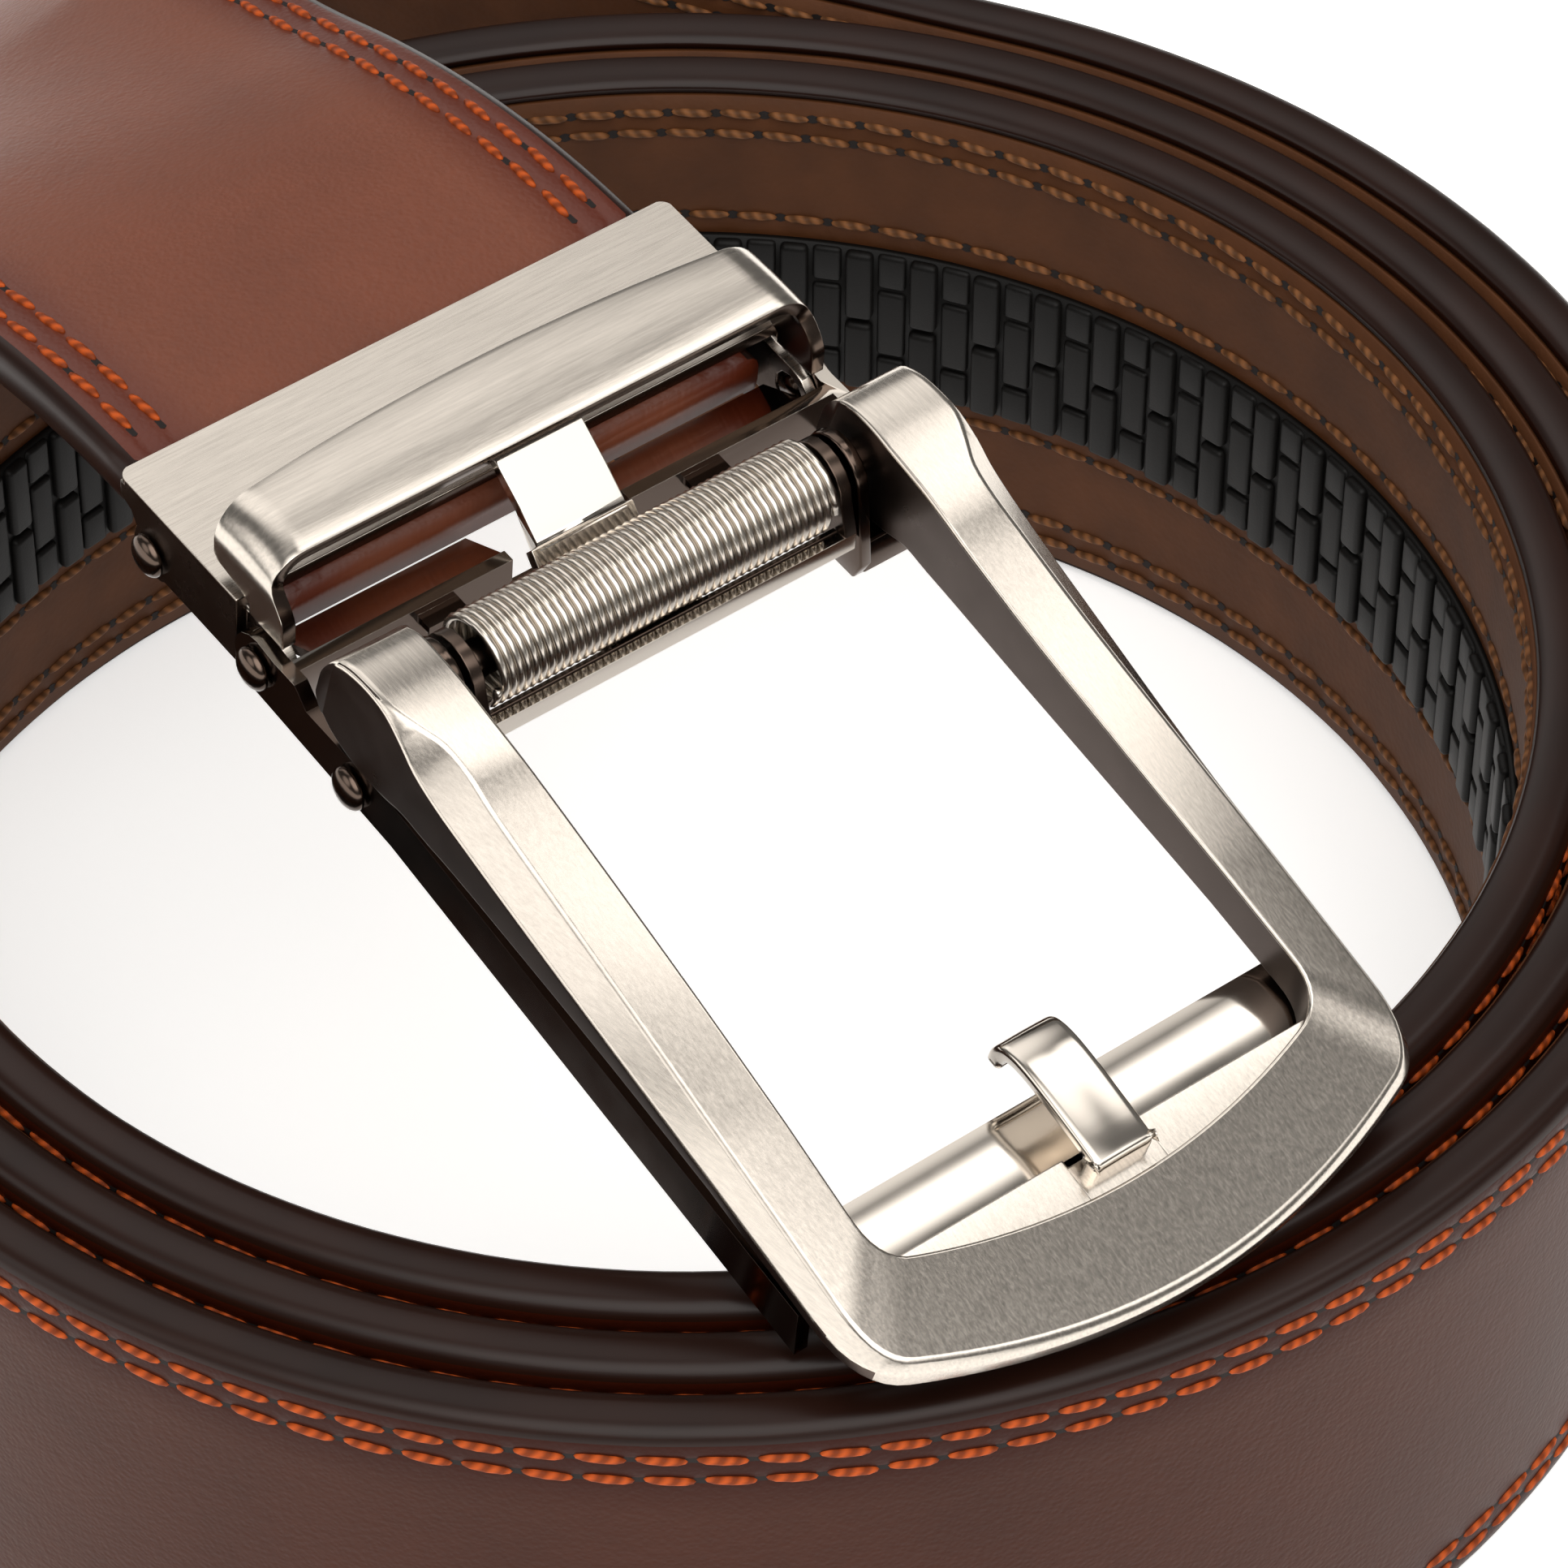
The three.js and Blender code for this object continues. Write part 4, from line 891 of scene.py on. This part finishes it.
class BELT_OT_pawl(bpy.types.Operator):
    """Sprung pawl with its strip and finger"""
    bl_idname = "belt.pawl"
    bl_label = "Pawl"

    def execute(self, context):
        colours = context.scene.belt_colours
        strip = Vector((24.65, 0, -1.7))      # front strip's back edge, under the spring
        # A dark bar along the strip's back edge closes the gap under the spring: painted shade, like the
        # pawl's ears in the darker nickel
        shadow_bar = BUCKLE @ Matrix.Translation(strip) @ Matrix.Diagonal((0.46, 23.4, 1.25, 1.0))
        refined("pawl", "pawl", [polished_nickel("buffed_nickel_pawl", colours.nickel, 0.1),
                                 polished_nickel("pawl_ear_painted_shade", colours.dark_nickel, 0.25)],
                lambda face: abs(in_buckle(face).y) > 11.6 or (in_buckle(face) - strip).length < 0.7,
                offset=0.09, shadow_bar=shadow_bar)
        return {"FINISHED"}


# Rows along an arm, from the rod: the window's edge, the ridge and the outer side, each with its distance out
# and its height, then the underside's height
ARM_ROWS = (
    # along, inner, inner_top, ridge, ridge_top, outer, outer_top, under
    (-3.0, 14.25, 0.6, 18.65, 0.6, 18.95, 0.4, -0.5),
    (-2.95, 14.25, 1.5, 18.65, 1.5, 18.95, 1.3, -1.1),
    (-2.4, 14.25, 2.8, 18.65, 2.9, 18.95, 2.7, -1.9),
    (-1.2, 14.2, 3.7, 18.65, 3.9, 18.95, 3.65, -2.6),
    (0.5, 14.2, 4.1, 18.65, 4.5, 18.95, 4.25, -2.8),
    (2.2, 14.15, 4.25, 18.55, 4.75, 19.0, 4.4, -2.5),
    (3.9, 14.15, 4.35, 18.0, 4.78, 19.1, 3.9, -1.9),
    (5.4, 14.15, 4.4, 17.45, 4.75, 19.15, 3.2, -1.2),
    (7.4, 14.1, 4.4, 17.3, 4.6, 19.15, 2.8, -0.95),
    (10.0, 14.05, 4.3, 17.4, 4.3, 19.1, 2.55, -0.6),
    (16.0, 14.05, 4.15, 17.45, 3.97, 19.0, 2.2, -0.1),
    (24.0, 14.2, 4.15, 17.6, 3.75, 18.85, 1.8, 0.4),
    (32.0, 14.42, 4.1, 17.78, 3.5, 18.75, 1.6, 0.75),
)
WINDOW_END, SHELF_ARC, END_ARC, WINDOW_HALF, END_HALF = 40.5, 43.3, 49.6, 14.5, 18.7
SHELF_TOP, END_BOTTOM = 2.4, 0.5


def frame_rings():
    """Rings from one ear along its arm, round the end bar and back, each from the window's side outwards."""
    half = []
    for row in between([Vector(r) for r in ARM_ROWS], 3):
        along, inner, inner_top, ridge, ridge_top, outer, outer_top, under = row
        half.append([(along, inner, under), (along, inner, inner_top), (along, ridge, ridge_top),
                     (along, outer, outer_top), (along, outer, under)])
    for k in range(0, 9):
        t = k / 8
        lean = smooth(t)
        inner = curve(((37.6, 14.6), (40.5, 14.8), (41.13, 12.6)), t)
        ridge = curve(((40.5, 17.9), (44.85, 18.05), (45.75, 15.9)), t)
        outer = curve(((41.0, 18.7), (45.15, 18.7), (46.2, 16.2)), t)
        half.append([(inner.x, inner.y, 0.7 - 0.2 * lean), (inner.x, inner.y, 3.9 - 0.68 * lean),
                     (ridge.x, ridge.y, 3.2 - 0.62 * lean), (outer.x, outer.y, 1.5 + 0.4 * lean),
                     (outer.x, outer.y, 0.65)])
    for k in range(1, 13):
        t = k / 24
        inner = curve(((41.13, 12.6), (2 * SHELF_ARC - 41.13, 0), (41.13, -12.6)), t)
        ridge = curve(((45.75, 15.9), (2 * (END_ARC - 0.42) - 45.75, 0), (45.75, -15.9)), t)
        outer = curve(((46.2, 16.2), (2 * END_ARC - 46.2, 0), (46.2, -16.2)), t)
        rise = 4 * t * (1 - t)
        half.append([(inner.x, inner.y, 0.5), (inner.x, inner.y, 3.22 - 0.3 * rise),
                     (ridge.x, ridge.y, 2.58 - 0.4 * rise), (outer.x, outer.y, 1.9 - 0.1 * rise),
                     (outer.x, outer.y, 0.65)])
    other = [[(x, -y, z) for x, y, z in ring] for ring in reversed(half[:-1])]
    return half + other


def shelf_rings():
    """Rings across the lowered shelf inside the end bar, with the prong's notch in its back edge."""
    rings = []
    half, notch = 14.6, 2.45
    marks = [-half + 1.0 * k for k in range(13)] + [-notch, -notch + 0.01]
    for y in marks + [-m for m in reversed(marks)]:
        share = y / half
        back = WINDOW_END if abs(y) > notch - 0.005 else WINDOW_END + 0.5
        front = WINDOW_END + 0.9 + (SHELF_ARC - WINDOW_END) * (1 - share * share)
        rings.append([(back, y, END_BOTTOM), (back, y, SHELF_TOP), (front, y, SHELF_TOP),
                      (front, y, END_BOTTOM)])
    return rings


def prong_shape():
    """A bent strip, from its hook over the crossbar to its foot in the notch, slightly crowned."""
    half_width, thickness = 1.92, 1.0
    corners = ((33.4, 1.5), (33.42, 2.4), (33.85, 3.3), (34.8, 3.85), (36.4, 4.1),
               (39.2, 4.12), (41.7, 4.0), (42.3, 3.7), (42.38, 2.6), (42.38, 1.75))
    path = between([Vector(corner) for corner in corners], 4)
    bm = bmesh.new()
    bmesh.ops.create_grid(bm, x_segments=len(path) - 1, y_segments=8, size=0.5)
    for vert in bm.verts:
        at = path[round((vert.co.x + 0.5) * (len(path) - 1))]
        crown = 0.5 * vert.co.y ** 2
        vert.co = Vector((at.x, vert.co.y * 2 * half_width, at.y - crown))
    thicken(bm, thickness)
    bevel(bm, sharp_edges(bm, 50), 0.28, 3)
    return bm


def frame_in_shade(face):
    """Sides and underside, but for the end bar's front: the faces painted in shade."""
    return face.normal.z < 0.22 and not (face.normal.x > 0.3 and face.calc_center_median().x > 45)


class BELT_OT_frame(bpy.types.Operator):
    """Open front frame with its lowered shelf, and the prong"""
    bl_idname = "belt.frame"
    bl_label = "Front Frame"

    def execute(self, context):
        colours = context.scene.belt_colours
        bm = loft(frame_rings())
        past_ears = [e for e in sharp_edges(bm, 24) if min(v.co.x for v in e.verts) > -2.1]
        bevel(bm, past_ears, 0.22, 3)
        shelf = loft(shelf_rings())
        bevel(shelf, sharp_edges(shelf, 30), 0.12, 2)
        merge(bm, shelf)
        # Sides and underside take the darker side nickel: painted shade and dark reflection
        second_finish(bm, frame_in_shade)
        bmesh.ops.transform(bm, matrix=FRAME, verts=bm.verts)
        finishes = [brushed_nickel("satin_nickel_along", colours.nickel, (0.25, 6.0, 6.0), 0.2),
                    polished_nickel("frame_side_painted_shade", colours.shade_nickel, 0.3)]
        even_shading(finish_piece("front_frame_dressed", bm, "frame", finishes,
                                  ["front_frame"]))
        bm = prong_shape()
        bmesh.ops.transform(bm, matrix=FRAME, verts=bm.verts)
        finish_piece("prong_dressed", bm, "frame",
                     [polished_nickel("buffed_nickel_prong", colours.nickel, 0.14)],
                     ["prong"])
        return {"FINISHED"}


class BELT_OT_stage(bpy.types.Operator):
    """Pale floor, soft lights and the camera"""
    bl_idname = "belt.stage"
    bl_label = "Stage"

    def execute(self, context):
        bm = bmesh.new()
        bmesh.ops.create_circle(bm, cap_ends=True, segments=64, radius=3.0)
        mesh = bpy.data.meshes.new("floor")
        bm.to_mesh(mesh)
        bm.free()
        floor = bpy.data.objects.new("floor", mesh)
        context.scene.collection.objects.link(floor)
        # Matte white paper, lit a little from within so that it stays as pale as in the photograph
        material, _, _ = new_material("matte_white_paper", linear(context.scene.belt_colours.floor), **{
            "Roughness": 0.9, "Emission Color": (1, 1, 1, 1), "Emission Strength": 0.5})
        mesh.materials.append(material)

        world = bpy.data.worlds.new("studio")
        context.scene.world = world
        world.use_nodes = True
        tree = world.node_tree
        tree.nodes.clear()
        sky = add_node(tree, "ShaderNodeTexCoord")
        light = add_node(tree, "ShaderNodeValue")
        light.outputs[0].default_value = 0.16     # the room's own light
        total = light.outputs[0]
        for towards, inner, outer, strength in (
                ((0.50, -0.30, 0.81), 16, 42, 2.9),       # large softbox above the viewer's right
                ((-0.62, 0.12, 0.78), 8, 32, 1.25),       # softbox behind and left, seen in the clamp
                ((-0.08, 0.57, 0.82), 6, 12, 2.1),        # its bright far end, seen in the right arm
                ((-0.06, 0.32, 0.94), 6, 12, 2.1),        # and beside it, seen in the left arm and the prong
                ((0.60, 0.42, 0.68), 8, 17, 1.7),         # small card on the right, seen in the pawl's finger
                ((-0.25, -0.88, 0.40), 10, 26, 1.5),      # low card on the left, seen in the left arm's slope
                ((-0.95, 0.05, 0.30), 8, 24, 0.8)):       # strip far left, seen along the inner edges
            aim = Vector(towards).normalized()
            facing = add_node(tree, "ShaderNodeVectorMath", {1: aim}, {0: sky.outputs["Generated"]},
                              operation="DOT_PRODUCT")
            card = add_node(tree, "ShaderNodeMapRange", {
                "From Min": math.cos(math.radians(outer)), "From Max": math.cos(math.radians(inner)),
                "To Min": 0.0, "To Max": strength}, {"Value": facing.outputs["Value"]},
                interpolation_type="SMOOTHSTEP")
            total = add_node(tree, "ShaderNodeMath", links={0: total, 1: card.outputs["Result"]},
                             operation="ADD").outputs[0]
        warm_white = (1.0, 0.975, 0.945, 1.0)
        back = add_node(tree, "ShaderNodeBackground", {"Color": warm_white}, {"Strength": total})
        add_node(tree, "ShaderNodeOutputWorld", links={"Surface": back.outputs["Background"]})
        context.scene.view_settings.view_transform = "Standard"

        # In the photograph's pixels. It is cropped off centre, so the lens's middle isn't the picture's.
        photo_side, focal_pixels, middle_x, middle_y = 1932, 8977, 909, 976
        camera = bpy.data.cameras.new("camera")
        camera.sensor_width = 36.0
        camera.lens = focal_pixels * camera.sensor_width / photo_side
        camera.shift_x = (photo_side / 2 - middle_x) / photo_side
        camera.shift_y = (middle_y - photo_side / 2) / photo_side
        camera.clip_start = 0.01
        piece = bpy.data.objects.new("camera", camera)
        ahead = Vector((-0.554, 0.421, -0.718)).normalized()
        right = ahead.cross(UP).normalized()
        above = right.cross(ahead)
        turn = Matrix((right, above, -ahead)).transposed().to_4x4()
        piece.matrix_world = Matrix.Translation((Vector((233.0, -173.2, 322.25)) + SHIFT) * MM) @ turn
        context.scene.collection.objects.link(piece)
        context.scene.camera = piece
        return {"FINISHED"}


class BELT_PT_panel(bpy.types.Panel):
    """Lists the belt's pieces in the sidebar"""
    bl_idname = "BELT_PT_panel"
    bl_label = "Ratchet Belt"
    bl_space_type = "VIEW_3D"
    bl_region_type = "UI"
    bl_category = "Belt"

    def draw(self, context):
        for operator in OPERATORS:
            self.layout.operator(operator.bl_idname)
        for group in (context.scene.belt_sizes, context.scene.belt_colours):
            for name in group.__annotations__:
                self.layout.prop(group, name)


OPERATORS = (BELT_OT_leather, BELT_OT_lining, BELT_OT_track, BELT_OT_stitches, BELT_OT_clamp, BELT_OT_arch,
             BELT_OT_base, BELT_OT_pins, BELT_OT_spring, BELT_OT_pawl, BELT_OT_frame, BELT_OT_stage)
CLASSES = (BeltSizes, BeltColours, *OPERATORS, BELT_PT_panel)


def register():
    for cls in CLASSES:
        bpy.utils.register_class(cls)
    bpy.types.Scene.belt_sizes = bpy.props.PointerProperty(type=BeltSizes)
    bpy.types.Scene.belt_colours = bpy.props.PointerProperty(type=BeltColours)


def unregister():
    del bpy.types.Scene.belt_colours
    del bpy.types.Scene.belt_sizes
    for cls in reversed(CLASSES):
        bpy.utils.unregister_class(cls)


def main():
    register()
    for operator in OPERATORS:
        group, name = operator.bl_idname.split(".")
        getattr(getattr(bpy.ops, group), name)()


if __name__ == "__main__":
    main()
